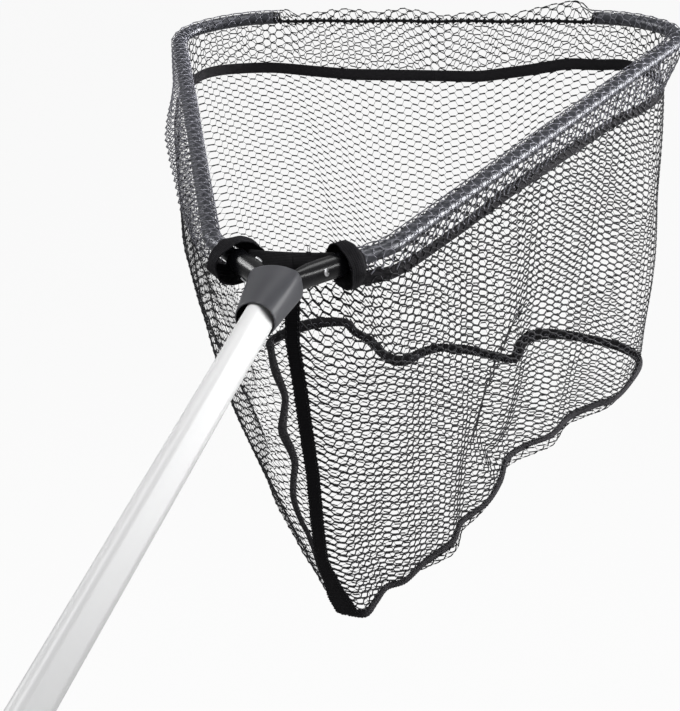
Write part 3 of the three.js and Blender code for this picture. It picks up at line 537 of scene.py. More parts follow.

# %% [markdown]
# ## Where the bag hangs
# The top of the bag is sewn along a hem tape below the rim, and its bottom along a floor seam that hangs in
# small waves. A cloth simulation would find waves of its own, so these are kept as a list of given places,
# joined by a smooth curve. The netting walls are then a loft between the hem and that seam.

# %% Floor seam
REAR_CORNER, FRONT_SEAM = (0, 79, -346), (0, 520, -354)
RIGHT_SEAM = [
    (14, 81, -347), (19, 97, -346), (24, 114, -345), (37, 126, -346), (47, 148, -345), (57, 167, -346),
    (66, 186, -347), (68, 212, -346), (76, 227, -346), (86, 247, -346), (91, 280, -347), (92, 316, -346),
    (106, 338, -345), (126, 359, -346), (139, 393, -346), (160, 414, -345), (177, 430, -346),
    (188, 461, -347), (194, 500, -348), (186, 518, -347), (167, 521, -340), (139, 521, -334),
    (112, 520, -330), (86, 519, -332), (74, 517, -341), (65, 518, -360), (41, 520, -358), (15, 521, -354)]
LEFT_SEAM = [
    (-8, 82, -347), (-19, 98, -346), (-26, 113, -346), (-38, 133, -346), (-58, 173, -346), (-74, 200, -346),
    (-88, 229, -346), (-96, 257, -346), (-102, 284, -346), (-112, 306, -346), (-129, 337, -346),
    (-137, 371, -346), (-145, 401, -346), (-168, 447, -346), (-187, 495, -350), (-194, 517, -355),
    (-181, 521, -347), (-156, 521, -335), (-132, 520, -329), (-110, 519, -328), (-101, 519, -338),
    (-84, 517, -347), (-73, 512, -357), (-58, 503, -360), (-44, 504, -360), (-29, 515, -356),
    (-10, 521, -353)]
SEAM_STEPS = 700


def curve_through(places, count):
    """A smooth curve through places, as points evenly spread along it."""
    p = np.array(places, float)
    p = np.concatenate([2 * p[:1] - p[1:2], p, 2 * p[-1:] - p[-2:-1]])
    t = np.linspace(0, 1, 12, endpoint=False)[:, None]
    pieces = []
    for a, b, c, d in zip(p[:-3], p[1:-2], p[2:-1], p[3:]):
        pieces.append(0.5 * (2 * b + (c - a) * t + (2 * a - 5 * b + 4 * c - d) * t**2
                             + (3 * b - a - 3 * c + d) * t**3))
    line = np.concatenate(pieces + [p[-2:-1]])
    along = distance_along(line)
    return read_rows(np.linspace(0, along[-1], count), along, line)


seam_lines = {
    1: curve_through([REAR_CORNER, *RIGHT_SEAM, FRONT_SEAM], SEAM_STEPS),
    -1: curve_through([REAR_CORNER, *LEFT_SEAM, FRONT_SEAM], SEAM_STEPS)}


def seam(t, side):
    """A point of the floor seam; t runs from the rear corner to the front middle."""
    return read_rows(np.clip(t, 0, 1) * (SEAM_STEPS - 1), np.arange(SEAM_STEPS), seam_lines[side])


for side, word in SIDES.items():
    print(word, "floor seam", round(distance_along(seam_lines[side])[-1]), "mm")

# %% [markdown]
# ## The line of the hem
# From the strap at the back, the top edge of the netting goes under the cuffs and then follows the rim. It
# lies deeper below the rim towards the front, and cuts the corners, because the tape is pulled taut.
# Depths at a few places, joined and then rounded off, are easier to set than handles of a curve.

# %% Hem line
NET_FROM = 37.3
STRAP_MIDDLE, STRAP_BOTTOM, UNDER_CUFF = 34.0, -7.3, -19.3
WALL_TURN = rim(NET_FROM, 1)[0]
BACK_REACH = math.hypot(WALL_TURN[0], WALL_TURN[1] - STRAP_MIDDLE)
WALL_LENGTH = BACK_REACH + FRONT_MIDDLE - NET_FROM
HEM_DEPTHS = {
    1: [(30, 11), (60, 16), (96, 19.5), (165, 21), (242, 20.5), (297, 22.5), (386, 27), (480, 38),
        (540, 38.5), (586, 36.7), (606, 40), (634, 38), (671, 45), (719, 52), (761, 51.5)],
    -1: [(30, 11), (60, 14), (200, 14.5), (330, 17), (420, 27), (480, 37), (505, 38.5), (530, 38), (545, 39),
         (574, 42.8), (613, 45), (678, 51), (761, 51.5)]}
CORNER_CUT, CORNER_CUT_LENGTH = {1: 11.0, -1: 4.0}, 38.0
RULER = np.arange(-100, 900)


def smoothed(places, width):
    """A value for every millimetre of the ruler, with the corners rounded off."""
    return np.convolve(read_table(RULER, places), np.full(width, 1 / width), "same")


hem_heights = {side: smoothed(places, 25) for side, places in HEM_DEPTHS.items()}


def hem_depth(distance, side):
    """How far the seam of the hem lies below the rim."""
    return np.interp(distance, RULER, hem_heights[side])


def hem_inset(distance, side):
    """The seam is taut, so it cuts the corner of the rim, more on the right than on the left."""
    corner = (CORNER_FROM + TIP_FROM) / 2
    return CORNER_CUT[side] * np.exp(-((distance - corner) / CORNER_CUT_LENGTH) ** 2)


def wall_top(t, side):
    """A point of the top edge of the netting; t runs from the strap to the front middle."""
    along = np.clip(t, 0, 1) * WALL_LENGTH
    share = np.clip(along / BACK_REACH, 0, 1)
    back = np.stack([
        share * WALL_TURN[0] * side, lerp(STRAP_MIDDLE, WALL_TURN[1], share),
        lerp(STRAP_BOTTOM, UNDER_CUFF, eased(share, 0, 0.4))], -1)
    d = NET_FROM + np.maximum(0, along - BACK_REACH)
    under, out, _ = rim(d, side)
    under = under - out * hem_inset(d, side)[..., None]
    under[..., 2] = lerp(UNDER_CUFF, -hem_depth(d, side), eased(d, NET_FROM, NET_FROM + 30))
    return np.where((along < BACK_REACH)[..., None], back, under)


print("top edge of the netting", round(WALL_LENGTH), "mm on each side")

# %% [markdown]
# ## The walls between hem and floor
# A straight loft would look like stretched foil. On the real bag the right wall bulges a little and has one
# long crease, the left wall is slack and stands well out, and both are drawn back to the rear seam. They
# could be sculpted, but here each of these is one term of a sum, so each can be set by itself.

# %% Wall surface
SWELL = {
    1: [(0, 0), (0.16, 6), (0.65, 6), (0.88, 1)],
    -1: [(0, 0), (0.05, 8), (0.12, 19), (0.16, 25), (0.22, 29), (0.36, 35), (0.45, 39), (0.62, 37),
         (0.75, 16), (0.88, 5)]}
RIPPLE, FRONT_SWELL = 2.4, 3.0
CREASE_DEPTH = 15.0
CREASE = [
    (0.42, 0.335), (0.503, 0.316), (0.583, 0.29), (0.724, 0.273), (0.80, 0.285), (0.905, 0.322), (1.0, 0.36)]
REAR_PULL = 32.0
SEAM_SWAY = [(0.0, 3.5), (0.25, 3.2), (0.5, 0.0), (0.78, -8.0), (0.92, -4.0), (1.0, 0.0)]


def hanging_slack(v):
    """The slack wall fills out soon below the hem and comes back just above the floor."""
    leaves_hem = np.minimum(1, v / 0.35) ** 0.5
    meets_floor = np.minimum(1, (1 - v) / 0.06) ** 0.5
    return leaves_hem * (1 - 0.42 * eased(v, 0.5, 0.9)) * meets_floor


def swell(t, v, side):
    """How far the wall stands out of the straight line from hem to floor; the left one is slack."""
    even = np.sin(math.pi * v)
    out = read_table(t, SWELL[side]) * (even if side > 0 else hanging_slack(v))
    out = out + RIPPLE * np.sin(t * 31 + v * 4 + side) * np.sin(v * 7 + t * 9) * even
    if side > 0:
        line = read_table(v, CREASE)
        fold = np.where(t < line, np.clip(1 - (line - t) / 0.042, 0, 1), np.exp((line - t) / 0.05))
        out = out - CREASE_DEPTH * fold * eased(v, 0.36, 0.55) * (1 - eased(v, 0.88, 0.98))
    return lerp(out, FRONT_SWELL * even, eased(t, 0.88, 1.0))


def wall_at(t, v, side):
    """A point of the bag's wall: t runs from the rear seam to the front middle, v from hem to floor."""
    t, v = np.broadcast_arrays(np.asarray(t, float), np.clip(np.asarray(v, float), 0, 1))
    point = lerp(wall_top(t, side), seam(t, side), v[..., None])
    before, after = t - 0.004, t + 0.004
    top_way = wall_top(after, side) - wall_top(before, side)
    floor_way = seam(after, side) - seam(before, side)
    out = unit(side * np.cross(unit(top_way + floor_way), UP))
    point = point + out * swell(t, v, side)[..., None]
    near = np.maximum(0, 1 - 6 * t) ** 2
    point[..., 1] -= REAR_PULL * near * (1 - v**3) * np.minimum(1, v / 0.12) ** 0.6
    point[..., 0] += read_table(v, SEAM_SWAY) * near
    return point


for side, word in SIDES.items():
    print("middle of the", word, "wall at", wall_at(0.5, 0.5, side).round().tolist(), "mm")

# %% [markdown]
# ## Knotted netting
# The netting is a hexagonal mesh: short thick bars in staggered rows, joined by thin slanting threads. It
# could be a picture with holes, but then it has no edge and no shadow. Here each bar and thread is a
# slim three-sided prism laid on the surface, thousands to a wall, made together as arrays.

# %% Threads on a surface
COLUMN, ROW = 7.0, 8.4
BAR_SHARE, BAR_TILT = 0.32, 0.06
BAR_RADII, THREAD_RADII = np.array([0.95, 0.78, 0.95]), np.array([0.50, 0.50])


def threads(paths, radii, normals):
    """Three-sided prisms along paths of k points, lying on a surface with these normals."""
    along = unit(paths[:, -1] - paths[:, 0])
    side = unit(np.cross(along, normals))
    upward = np.cross(side, along)
    turn = math.pi / 2 + np.arange(3) * 2 * math.pi / 3
    ring = np.cos(turn)[None, :, None] * side[:, None] + np.sin(turn)[None, :, None] * upward[:, None]
    radii = np.broadcast_to(radii, paths.shape[:2])
    points = paths[:, :, None] + radii[:, :, None, None] * ring[:, None]
    index = np.arange(points[..., 0].size).reshape(points.shape[:3])
    a, b = index[:, :-1], index[:, 1:]
    quads = np.stack([a, b, np.roll(b, -1, 2), np.roll(a, -1, 2)], -1).reshape(-1, 4)
    return points.reshape(-1, 3), quads


def honeycomb(at, columns, rows, inside, weights, finishes=(0, 1)):
    """Bars and threads of a netting: at() takes columns and rows, inside() says where there is cloth, and
    weights() makes the bars and the threads of a column thicker or thinner."""
    first, last = columns
    i, j = (a.ravel() for a in np.meshgrid(np.arange(first, last + 1), np.arange(*rows), indexing="ij"))
    row = j + 0.5 * (i % 2)

    def lay(stops, which, radii):
        c, r = np.mean(stops, axis=0)
        keep = inside(c, r) & (c <= last)
        c, r = c[keep], r[keep]
        path = np.stack([at(stop_c[keep], stop_r[keep]) for stop_c, stop_r in stops], 1)
        normal = unit(np.cross(at(c + 0.2, r) - at(c - 0.2, r), at(c, r + 0.2) - at(c, r - 0.2)))
        weight = np.broadcast_to(weights(c)[which], c.shape)
        return (*threads(path, radii * weight[:, None], normal), finishes[which])

    begin, end = np.maximum(i - BAR_SHARE, first), np.minimum(i + BAR_SHARE, last)
    leave, reach = i + BAR_SHARE, i + 1 - BAR_SHARE
    high, low = row - BAR_TILT, row + BAR_TILT
    return [lay([(begin, high), ((begin + end) / 2, row), (end, low)], 0, BAR_RADII),
            lay([(leave, low), (reach, high + 0.5)], 1, THREAD_RADII),
            lay([(leave, low), (reach, high - 0.5)], 1, THREAD_RADII)]


def yarn_area(piece):
    """All the faces of the threads together, in square metres."""
    areas = np.zeros(len(piece.data.polygons))
    piece.data.polygons.foreach_get("area", areas)
    return float(areas.sum())


def net_piece(name, chunks, side, flat, nodes, held=None):
    """A panel of netting that takes the place of these solids; its share of the arm's turn is worked out but
    not stored.
    """
    piece = make_piece(name, chunks, [bar_yarn, thread_yarn, painted_lit_yarn])
    fold_with_arm(piece, side, held)
    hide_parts(*nodes)
    area = yarn_area(piece)
    cloth = flat[0] * flat[1]
    print(f"{name}: {len(piece.data.polygons)} faces, yarn {area:.4f} of {cloth:.4f} square metres")


print("one cell of the netting is", COLUMN, "by", ROW, "mm")

# %% [markdown]
# ## Walls and floor of the bag
# Each half of the bag is one cloth from the rear seam to the middle of the front. Its columns are counted
# round the bag and its rows down it. Where the cloth is pulled, the columns lie further apart, and where it
# hangs at a slant, the rows run down towards the front, so both are read from short tables. The yarn is given
# more or less weight on the way, as it looks in the photograph. The floor is a triangle that sags between its
# seams and bulges a little past them, most of all at two places on the right.

# %% Bag walls
COLUMN_WIDTHS = {
    1: [(0, 7.2), (0.15, 8.2), (0.24, 10), (0.3, 12.3), (0.45, 12), (0.58, 11), (0.7, 7.6), (1, 7.4)],
    -1: [(0, 7.0), (0.6, 7.0), (0.66, 4.6), (0.7, 4.6), (0.73, 6.2), (0.78, 7.4), (1, 7.4)]}
ROW_COUNTS = {
    1: [(0, 41), (0.3, 44), (0.45, 46), (0.6, 46), (0.75, 39), (1, 39)],
    -1: [(0, 40), (0.6, 40), (0.75, 39), (1, 39)]}
ROW_SLANT = {1: [(0, 0), (0.15, 4), (0.3, 11), (0.6, 27), (1, 27)], -1: [(0, 0), (1, 0)]}
WALL_ROWS = (-28, 47)
NEAR_YARN, FAR_YARN = {1: (1.15, 1.2), -1: (0.72, 0.42)}, (0.95, 0.42)
STRAY = 0.07
BAG_DEPTH = 0.34


def column_places(side):
    """Where the columns of the netting lie along the wall; the cloth is pulled wider in some places."""
    t = np.linspace(0, 1, 400)
    widths = read_table(t[1:], COLUMN_WIDTHS[side])
    passed = np.concatenate([[0], np.cumsum(np.diff(t) * WALL_LENGTH / widths)])
    count = round(passed[-1] / 2) * 2
    return np.interp(np.linspace(0, passed[-1], count + 1), passed, t)


for side, word in SIDES.items():
    places = column_places(side)
    count = len(places) - 1

    def on_cloth(c, r):
        t = np.interp(c, np.arange(count + 1), places)
        return t, (r + read_table(t, ROW_SLANT[side])) / read_table(t, ROW_COUNTS[side])

    def wall_grid(c, r):
        loose = np.clip(np.minimum(c, count - c) / 3, 0, 1)
        column = c + loose * STRAY * np.sin(1.3 * r + 0.7 * c + side)
        row = r + loose * STRAY * np.sin(1.9 * c - 0.6 * r + side)
        return wall_at(*on_cloth(column, row), side)

    def on_wall(c, r):
        v = on_cloth(c, r)[1]
        return (v > 0) & (v < 1)

    def weights(c):
        far = eased(on_cloth(c, 0)[0], 0.5, 0.72)
        return tuple(lerp(near, away, far) for near, away in zip(NEAR_YARN[side], FAR_YARN))

    chunks = honeycomb(wall_grid, (0, count), WALL_ROWS, on_wall, weights)
    net_piece(f"{word}_bag_wall", chunks, side, (WALL_LENGTH / 1000, BAG_DEPTH),
              [f"{word}_wall_net", "front_wall_net"])

# %% Bag floor
FLOOR_REAR, FLOOR_FRONT = 80, 520
FLOOR_SAG, FLOOR_LOWEST = 18.0, -365
SPILL, SPILL_PLACES = 9.0, (190, 350)
FLOOR_COLUMNS, FLOOR_ROWS, FLOOR_FLAT = (0, 30), (0, 54), (0.2, 0.22)
FLOOR_YARN = (0.78, 0.42)


def floor_edges(y, side):
    """How far out the floor seam is, and how high, beside a row of the floor."""
    line = seam_lines[side][: int(SEAM_STEPS * 0.72)]
    line = line[np.argsort(line[:, 1])]
    return np.interp(y, line[:, 1], np.abs(line[:, 0])), np.interp(y, line[:, 1], line[:, 2])


def floor_at(x, y):
    """A point of the sagging floor."""
    half, edge_z = np.where(x >= 0, floor_edges(y, 1), floor_edges(y, -1))
    front = np.concatenate([seam_lines[s][int(SEAM_STEPS * 0.74):] for s in (1, -1)])
    front = front[np.argsort(front[:, 0])]
    front_z = np.interp(x, front[:, 0], front[:, 2])
    z = lerp(edge_z, front_z, eased(y, FLOOR_FRONT - 90, FLOOR_FRONT))
    inward = np.minimum(np.maximum(half - np.abs(x), 0), np.maximum(FLOOR_FRONT - y, 0))
    sag = FLOOR_SAG * (1 - np.exp(-inward / 7.0)) * eased(y, 75, 190)
    spill = np.where(x > 0, sum(np.exp(-((y - place) / 42) ** 2) for place in SPILL_PLACES), 0.3)
    x = x + np.sign(x) * SPILL * spill * np.exp(-((inward - 9) / 9) ** 2)
    return np.stack([x, y, np.maximum(z - sag, FLOOR_LOWEST)], -1)


for side, word in SIDES.items():
    def floor_grid(c, r):
        return floor_at(side * c * COLUMN, FLOOR_REAR + r * ROW)

    def on_floor(c, r):
        x, y = c * COLUMN, FLOOR_REAR + r * ROW
        return (y > FLOOR_REAR + 2) & (y < FLOOR_FRONT + 1) & (x < floor_edges(y, side)[0] + 1)

    chunks = honeycomb(floor_grid, FLOOR_COLUMNS, FLOOR_ROWS, on_floor, lambda c: FLOOR_YARN)
    net_piece(f"{word}_bag_floor", chunks, side, FLOOR_FLAT, ["floor_net"])

# %% [markdown]
# ## Netting over the arms
# The hem is a tunnel: the netting goes up the outside, over the tube and down the inside to the tape. In
# front there is only a cord in it, so there the tunnel is slack and stands up in small scallops. A tube of
# cloth could be shrunk onto the arm with a modifier, but then its cells would stretch unevenly; laying them
# out by their way round the tube keeps them even.

# %% Tunnel surface
HEM_RADIUS, HEM_LEG = 7.2, 1.2
FRILL = {
    1: [(0, 5.5), (12, 2.5), (40, 6.5), (49, 4), (60, 6), (74, 3.5), (88, 7.5), (107, 12), (133, 17),
        (145, 13), (156, 8)],
    -1: [(0, 5.5), (26, 9.5), (40, 8), (54, 5.5), (68, 8), (82, 9), (96, 8), (112, 5.5), (129, 3.5),
         (142, 9), (156, 8)]}
LOOSE_LEFT = [(60, 6), (140, 18), (225, 24), (280, 24), (330, 17), (360, 12), (395, 7), (430, 5), (490, 0)]
LOOSE_RIGHT = 5.0


def crown(distance, side):
    """The tunnel's way from its crown to its side in millimetres, and its width and height there."""
    free = eased(distance, ARM_LENGTH - 1, ARM_LENGTH + 10)
    frill = read_table(FRONT_MIDDLE - distance, FRILL[side])
    way = lerp(math.pi * HEM_RADIUS / 2, frill + 1.5, free)
    return way, lerp(HEM_RADIUS, 2.4, free), lerp(HEM_RADIUS, frill, free)


def casing_at(distance, around, side):
    """A point of the tunnel; around is the way over the tube in millimetres, 0 on its crown."""
    distance, around = np.broadcast_arrays(np.asarray(distance, float), np.asarray(around, float))
    point, out, _ = rim(distance, side)
    quarter, wide, high = crown(distance, side)
    tight = eased(distance, FRONT_MIDDLE, FRONT_MIDDLE - 40)
    slack = (1.6 + 1.2 * np.sin(distance / 37 + side)) * tight
    if side < 0:
        puff = np.where(around > 0, read_table(distance, LOOSE_LEFT), 0)
    else:
        puff = np.where(around < 0, LOOSE_RIGHT, 0) * (1 - eased(distance, ARM_LENGTH - 60, ARM_LENGTH))
    wide, slack = wide + 0.45 * puff, slack + 0.6 * puff
    turn = np.clip(around / quarter, -1, 1) * math.pi / 2
    below = np.maximum(np.abs(around) - quarter, 0)
    share = np.clip(below / hem_depth(distance, side), 0, 1)
    leg = lerp(wide, HEM_LEG, np.sin(share * math.pi / 2)) + slack * np.sin(math.pi * share)
    across = np.sign(around) * np.where(below > 0, leg, wide * np.abs(np.sin(turn)))
    across = across - hem_inset(distance, side) * share
    z = np.where(below > 0, -below, high * np.cos(turn))
    return point + out * across[..., None] + UP * z[..., None]


for side, word in SIDES.items():
    print("crown of the", word, "tunnel at", casing_at(ARM_LENGTH / 2, 0, side).round().tolist(), "mm")

# %% Hem tunnel
CASING_FROM = {1: 28.8, -1: 37.3}
TUNNEL_ROWS, TUNNEL_GIRTH = (-10, 11), 0.085
ON_TUBE_YARN = (0.7, 0.9)
TUNNEL_YARN, FRONT_YARN = {1: (1.1, 1.1), -1: (0.7, 0.9)}, (0.75, 0.6)


def sits_on_arm(points):
    """1 where the netting lies on the tube and turns with it, 0 down at the tape."""
    return eased(points[:, 2], -26, -7)


for side, word in SIDES.items():
    start = CASING_FROM[side]
    count = round((FRONT_MIDDLE - start) / COLUMN / 2) * 2
    pitch = (FRONT_MIDDLE - start) / count

    def past_corner(c):
        return eased(start + c * pitch, CORNER_FROM - 60, ARM_LENGTH)

    def casing_grid(c, r):
        slip = past_corner(c) * np.clip((count - c) / 6, 0, 1) * (0.09 * r + 0.16 * np.sin(1.7 * c + 0.9 * r))
        return casing_at(start + np.clip(c + slip, 0, count) * pitch, r * ROW, side)

    def on_tube(c, r):
        return (np.abs(r * ROW) < math.pi * HEM_RADIUS / 2) & (start + c * pitch < ARM_LENGTH)

    def below_tube(c, r):
        distance = start + c * pitch
        return (np.abs(r * ROW) < crown(distance, side)[0] + hem_depth(distance, side)) & ~on_tube(c, r)

    def on_arm(c, r):
        return below_tube(c, r) & (start + c * pitch < CORNER_FROM)

    def in_front(c, r):
        return below_tube(c, r) & (start + c * pitch >= CORNER_FROM)

    def weights(c):
        return tuple(lerp(arm, front, past_corner(c)) for arm, front in zip(TUNNEL_YARN[side], FRONT_YARN))

    # The loops on the tube, and the threads below it along the arm, take the pale lit yarn: painted highlight.
    chunks = honeycomb(casing_grid, (0, count), TUNNEL_ROWS, on_tube, lambda c: ON_TUBE_YARN, (2, 2))
    chunks += honeycomb(casing_grid, (0, count), TUNNEL_ROWS, on_arm, weights, (0, 2))
    chunks += honeycomb(casing_grid, (0, count), TUNNEL_ROWS, in_front, weights)
    net_piece(f"{word}_hem_tunnel", chunks, side, (FRONT_MIDDLE / 1000, TUNNEL_GIRTH),
              [f"{word}_casing_net", "front_casing_net"], sits_on_arm)

# %% [markdown]
# ## Tapes
# A woven tape holds the hem, another runs down the rear seam, and a third is the strap at the back. Each is a
# thin band with rounded edges carried along its line, with a millimetre map and two rows of stitches a face.
# A curve with a bevel would give the band too, but its map would not be in millimetres, and it would grow
# thicker wherever it grows wider. The stitches are short threads that stand a little above the tape.

# %% A sewn tape along a line
TAPE_EDGE = np.array([
    (-0.5, -0.9), (0.0, -1.0), (0.5, -0.9), (0.6, 0.0), (0.5, 0.9), (0.0, 1.0), (-0.5, 0.9), (-0.6, 0.0)])
STITCH_ROW, STITCH_RADII = 0.72, (0.12, 0.2, 0.12)


def sewn_tape(path, face, upward, width, thick, stitch=3.4):
    """A tape along path; face looks out of its flat side and upward runs across its width."""
    half = np.broadcast_to(np.asarray(width, float) / 2, len(path))
    outline = TAPE_EDGE[None] * np.stack([np.full(len(path), thick), half], -1)[:, None]
    body = sweep(path, face, upward, outline)
    along = distance_along(path)
    map_mm = np.stack(np.broadcast_arrays(along[:, None], outline[..., 1]), -1).reshape(-1, 2)
    band, stitches = [(body, capped(len(path), len(TAPE_EDGE)), 0)], []
    starts = np.arange(stitch, along[-1] - stitch, stitch)
    outward, across = read_rows(starts, along, face), read_rows(starts, along, upward)
    for flat_side in (1, -1):
        for edge in (STITCH_ROW, -STITCH_ROW):
            reach = edge * np.interp(starts, along, half)
            lift = outward * flat_side * thick * 0.62 + across * reach[:, None]
            stops = [read_rows(starts + share * stitch, along, path) + lift for share in (0.1, 0.4, 0.7)]
            stops[1] = stops[1] + outward * flat_side * 0.12
            stitches.append((*threads(np.stack(stops, 1), STITCH_RADII, outward * flat_side), 0))
    return band, stitches, map_mm, along[-1]


def tape_piece(name, path, face, upward, width, thick, nodes, finish=tape):
    """The tape and its stitches, as two pieces that go together."""
    chunks, sewn, map_mm, length = sewn_tape(path, face, upward, width, thick)
    piece = make_piece(name, chunks, [finish], map_mm)
    stitches = make_piece(f"{name}_stitches", sewn, [thread_yarn])
    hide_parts(*nodes)
    middling = float(np.mean(width))
    flat = (length / 1000, middling / 1000)
    print(f"{name}: {length:.0f} x {middling:.0f} mm, {len(sewn[0][0]) // 9 * 4} stitches")
    return piece, stitches


print("stitch rows lie", STITCH_ROW, "of the way from the middle of a tape to its edge")

# %% Hem tape
TAPE_WIDTH, TAPE_THICK = 11.0, 1.1

for side, word in SIDES.items():
    distance = np.concatenate([np.arange(NET_FROM - 5, FRONT_MIDDLE, 3.0), [FRONT_MIDDLE]])
    point, out, _ = rim(distance, side)
    wander = 0.8 * np.sin(distance / 29 + side) * (1 - eased(distance, FRONT_MIDDLE - 60, FRONT_MIDDLE))
    path = point - out * (1.7 + np.maximum(wander, 0) + hem_inset(distance, side))[:, None]
    path[:, 2] = -hem_depth(distance, side) - TAPE_WIDTH / 2 + 1
    lean = unit(UP + out * (0.12 * np.sin((FRONT_MIDDLE - distance) / 45))[:, None])
    for piece in tape_piece(f"{word}_hem_band", path, out, lean, TAPE_WIDTH, TAPE_THICK,
                            [f"{word}_hem_tape", "front_hem_tape"]):
        fold_with_arm(piece, side)

# %% [markdown]
# ## The floor seam
# Along the floor the tape is folded over the edges of two nettings, so it is thick and soft rather than flat.
# It is swept as an oval that swells and shrinks along the way, and thicker in the middle of the left side, as
# it looks in the photograph. In front, loops of yarn stand up from it every few millimetres, pale with a
# painted highlight; each is a bow of five points, and all of them are laid at once.

# %% Floor seam tape
SEAM_WIDE, SEAM_THICK, SEAM_SIDES = 8.2, 5.0, 12
SEAM_FLAT_WIDTH = 0.0105
LEFT_THICKER = 0.8
LOOPS_FROM, LOOP_PITCH, LOOP_RADIUS = 0.66, 7.0, 0.34
LOOP_INWARD, LOOP_HALF, LOOP_HEIGHT, LOOP_FOOT = 3.6, 2.7, 3.2, 1.2


def seam_outline(steps, side):
    """The oval section of the seam at each step along it."""
    share = steps / steps[-1]
    plump = 1 + 0.10 * np.sin(steps * 2 * math.pi / 2.6) + 0.12 * np.sin(steps / 19 + side)
    plump *= lerp(0.85, 1.35, eased(share, 0.62, 0.75))
    outline = circle(SEAM_THICK / 2, SEAM_SIDES, SEAM_WIDE / SEAM_THICK)[None] * plump[:, None, None]
    if side < 0:
        middle = eased(share, 0.2, 0.36) * (1 - eased(share, 0.66, 0.74))
        outline[..., 0] *= (1 + LEFT_THICKER * middle)[:, None]
    return outline


def seam_loops(steps, path, along, inward, upward):
    """Bows of yarn along the front of the seam."""
    places = np.arange(LOOPS_FROM * steps[-1], steps[-1] - 4, LOOP_PITCH)
    centre, way, inside, rise = (read_rows(places, steps, rows) for rows in (path, along, inward, upward))
    bow = np.linspace(0, math.pi, 5)[:, None]
    bows = (centre + inside * LOOP_INWARD)[:, None] + LOOP_HALF * np.cos(bow) * way[:, None]
    bows = bows + (LOOP_HEIGHT * np.sin(bow) - LOOP_FOOT) * rise[:, None]
    return threads(bows, np.full(5, LOOP_RADIUS), inside)


for side, word in SIDES.items():
    path = seam_lines[side]
    along = unit(np.gradient(path, axis=0))
    out = unit(side * np.cross(along, UP))
    upward = unit(np.cross(along, out) * -side)
    length = distance_along(path)[-1]
    steps = np.linspace(0, length, len(path))
    body = sweep(path, out, upward, seam_outline(steps, side))
    map_mm = np.stack(np.broadcast_arrays(steps[:, None], np.arange(SEAM_SIDES)[None] * 1.6), -1)
    chunks = [(body, capped(len(path), SEAM_SIDES), 0)]
    piece = make_piece(f"{word}_floor_seam", chunks, [tape], map_mm.reshape(-1, 2))
    bows = seam_loops(steps, path, along, -out, upward)
    # The loops are the pale lit yarn: painted highlight.
    loops = make_piece(f"{word}_floor_seam_loops", [(*bows, 0)], [painted_lit_yarn])
    for made in (piece, loops):
        fold_with_arm(made, side)
    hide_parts("floor_seam_tape")
    flat = (length / 1000, SEAM_FLAT_WIDTH)
    print(f"{word} floor seam {length:.0f} mm with {len(bows[0]) // 15} loops")

# %% [markdown]
# ## The rear seam
# Where the two halves of the bag meet at the back, a binding runs down from the strap to the floor. It uses
# the sewn tape again, along the edge of the wall, and spreads near the bottom, as it looks in the photograph.
# Its width wavers a little all the way, because a ruled straight edge would not look like sewn cloth.

# %% Rear seam tape
REAR_WIDE, REAR_FOLD_WIDE, REAR_END_WIDE, REAR_THICK, BEHIND_WALL = 10.8, 3.0, 9.0, 1.3, 1.6

drop = np.linspace(0.0, 1.0, 640)
path = wall_at(np.zeros_like(drop), drop, 1)
path[:, 1] -= BEHIND_WALL
across = np.tile([1.0, 0.0, 0.0], (len(path), 1))
back = unit(np.cross(across, np.gradient(path, axis=0)))
back *= np.sign(-back[:, 1:2])
wide = REAR_WIDE + REAR_FOLD_WIDE * np.exp(-((drop - 0.86) / 0.04) ** 2)
wide += REAR_END_WIDE * eased(drop, 0.86, 0.95)
wide += 0.7 * np.sin(drop * 640) + 0.4 * np.sin(drop * 411)
for piece in tape_piece("rear_seam_band", path, back, across, wide, REAR_THICK, ["rear_seam_tape"],
                        binding):
    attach(piece, "head")

# %% [markdown]
# ## Cuffs and strap
# Round each root sits a loose cuff of knitted binding, and a strap joins the two across the back of the
# hub, with two loose ends of its sewing thread. A cuff could be a tube with a solidify modifier; ring after
# ring round the arm, out and back in, gives it a wall, a rolled mouth and ruffles in one go. The strap uses
# the sewn tape again, one half for each arm, because it folds up between them.

# %% Cuffs
CUFF_FROM, CUFF_LENGTH = {1: 22.0, -1: 21.0}, {1: 16.0, -1: 20.0}
CUFF_WIDE, CUFF_HIGH, CUFF_DROP = {1: 17.2, -1: 18.6}, {1: 15.6, -1: 14.8}, 1.6


def cuff_ring(distance, grow, side, sides=56):
    """One ring of a cuff at a distance along the arm, grown outwards or inwards a little."""
    point, out, _ = rim(np.array([distance]), side)
    turn = turns(sides)
    ruffle = 1 + 0.03 * np.sin(turn * 5 + distance / 4) + 0.015 * np.sin(turn * 9 - distance * 0.3)
    narrow = 1 - 0.5 * eased((distance - CUFF_FROM[side]) / CUFF_LENGTH[side], 0.55, 1.0)
    wide, high = (CUFF_WIDE[side] * narrow + grow) * ruffle, (CUFF_HIGH[side] * narrow + grow) * ruffle
    return point + out * (wide * np.cos(turn))[:, None] + UP * (high * np.sin(turn) - CUFF_DROP)[:, None]


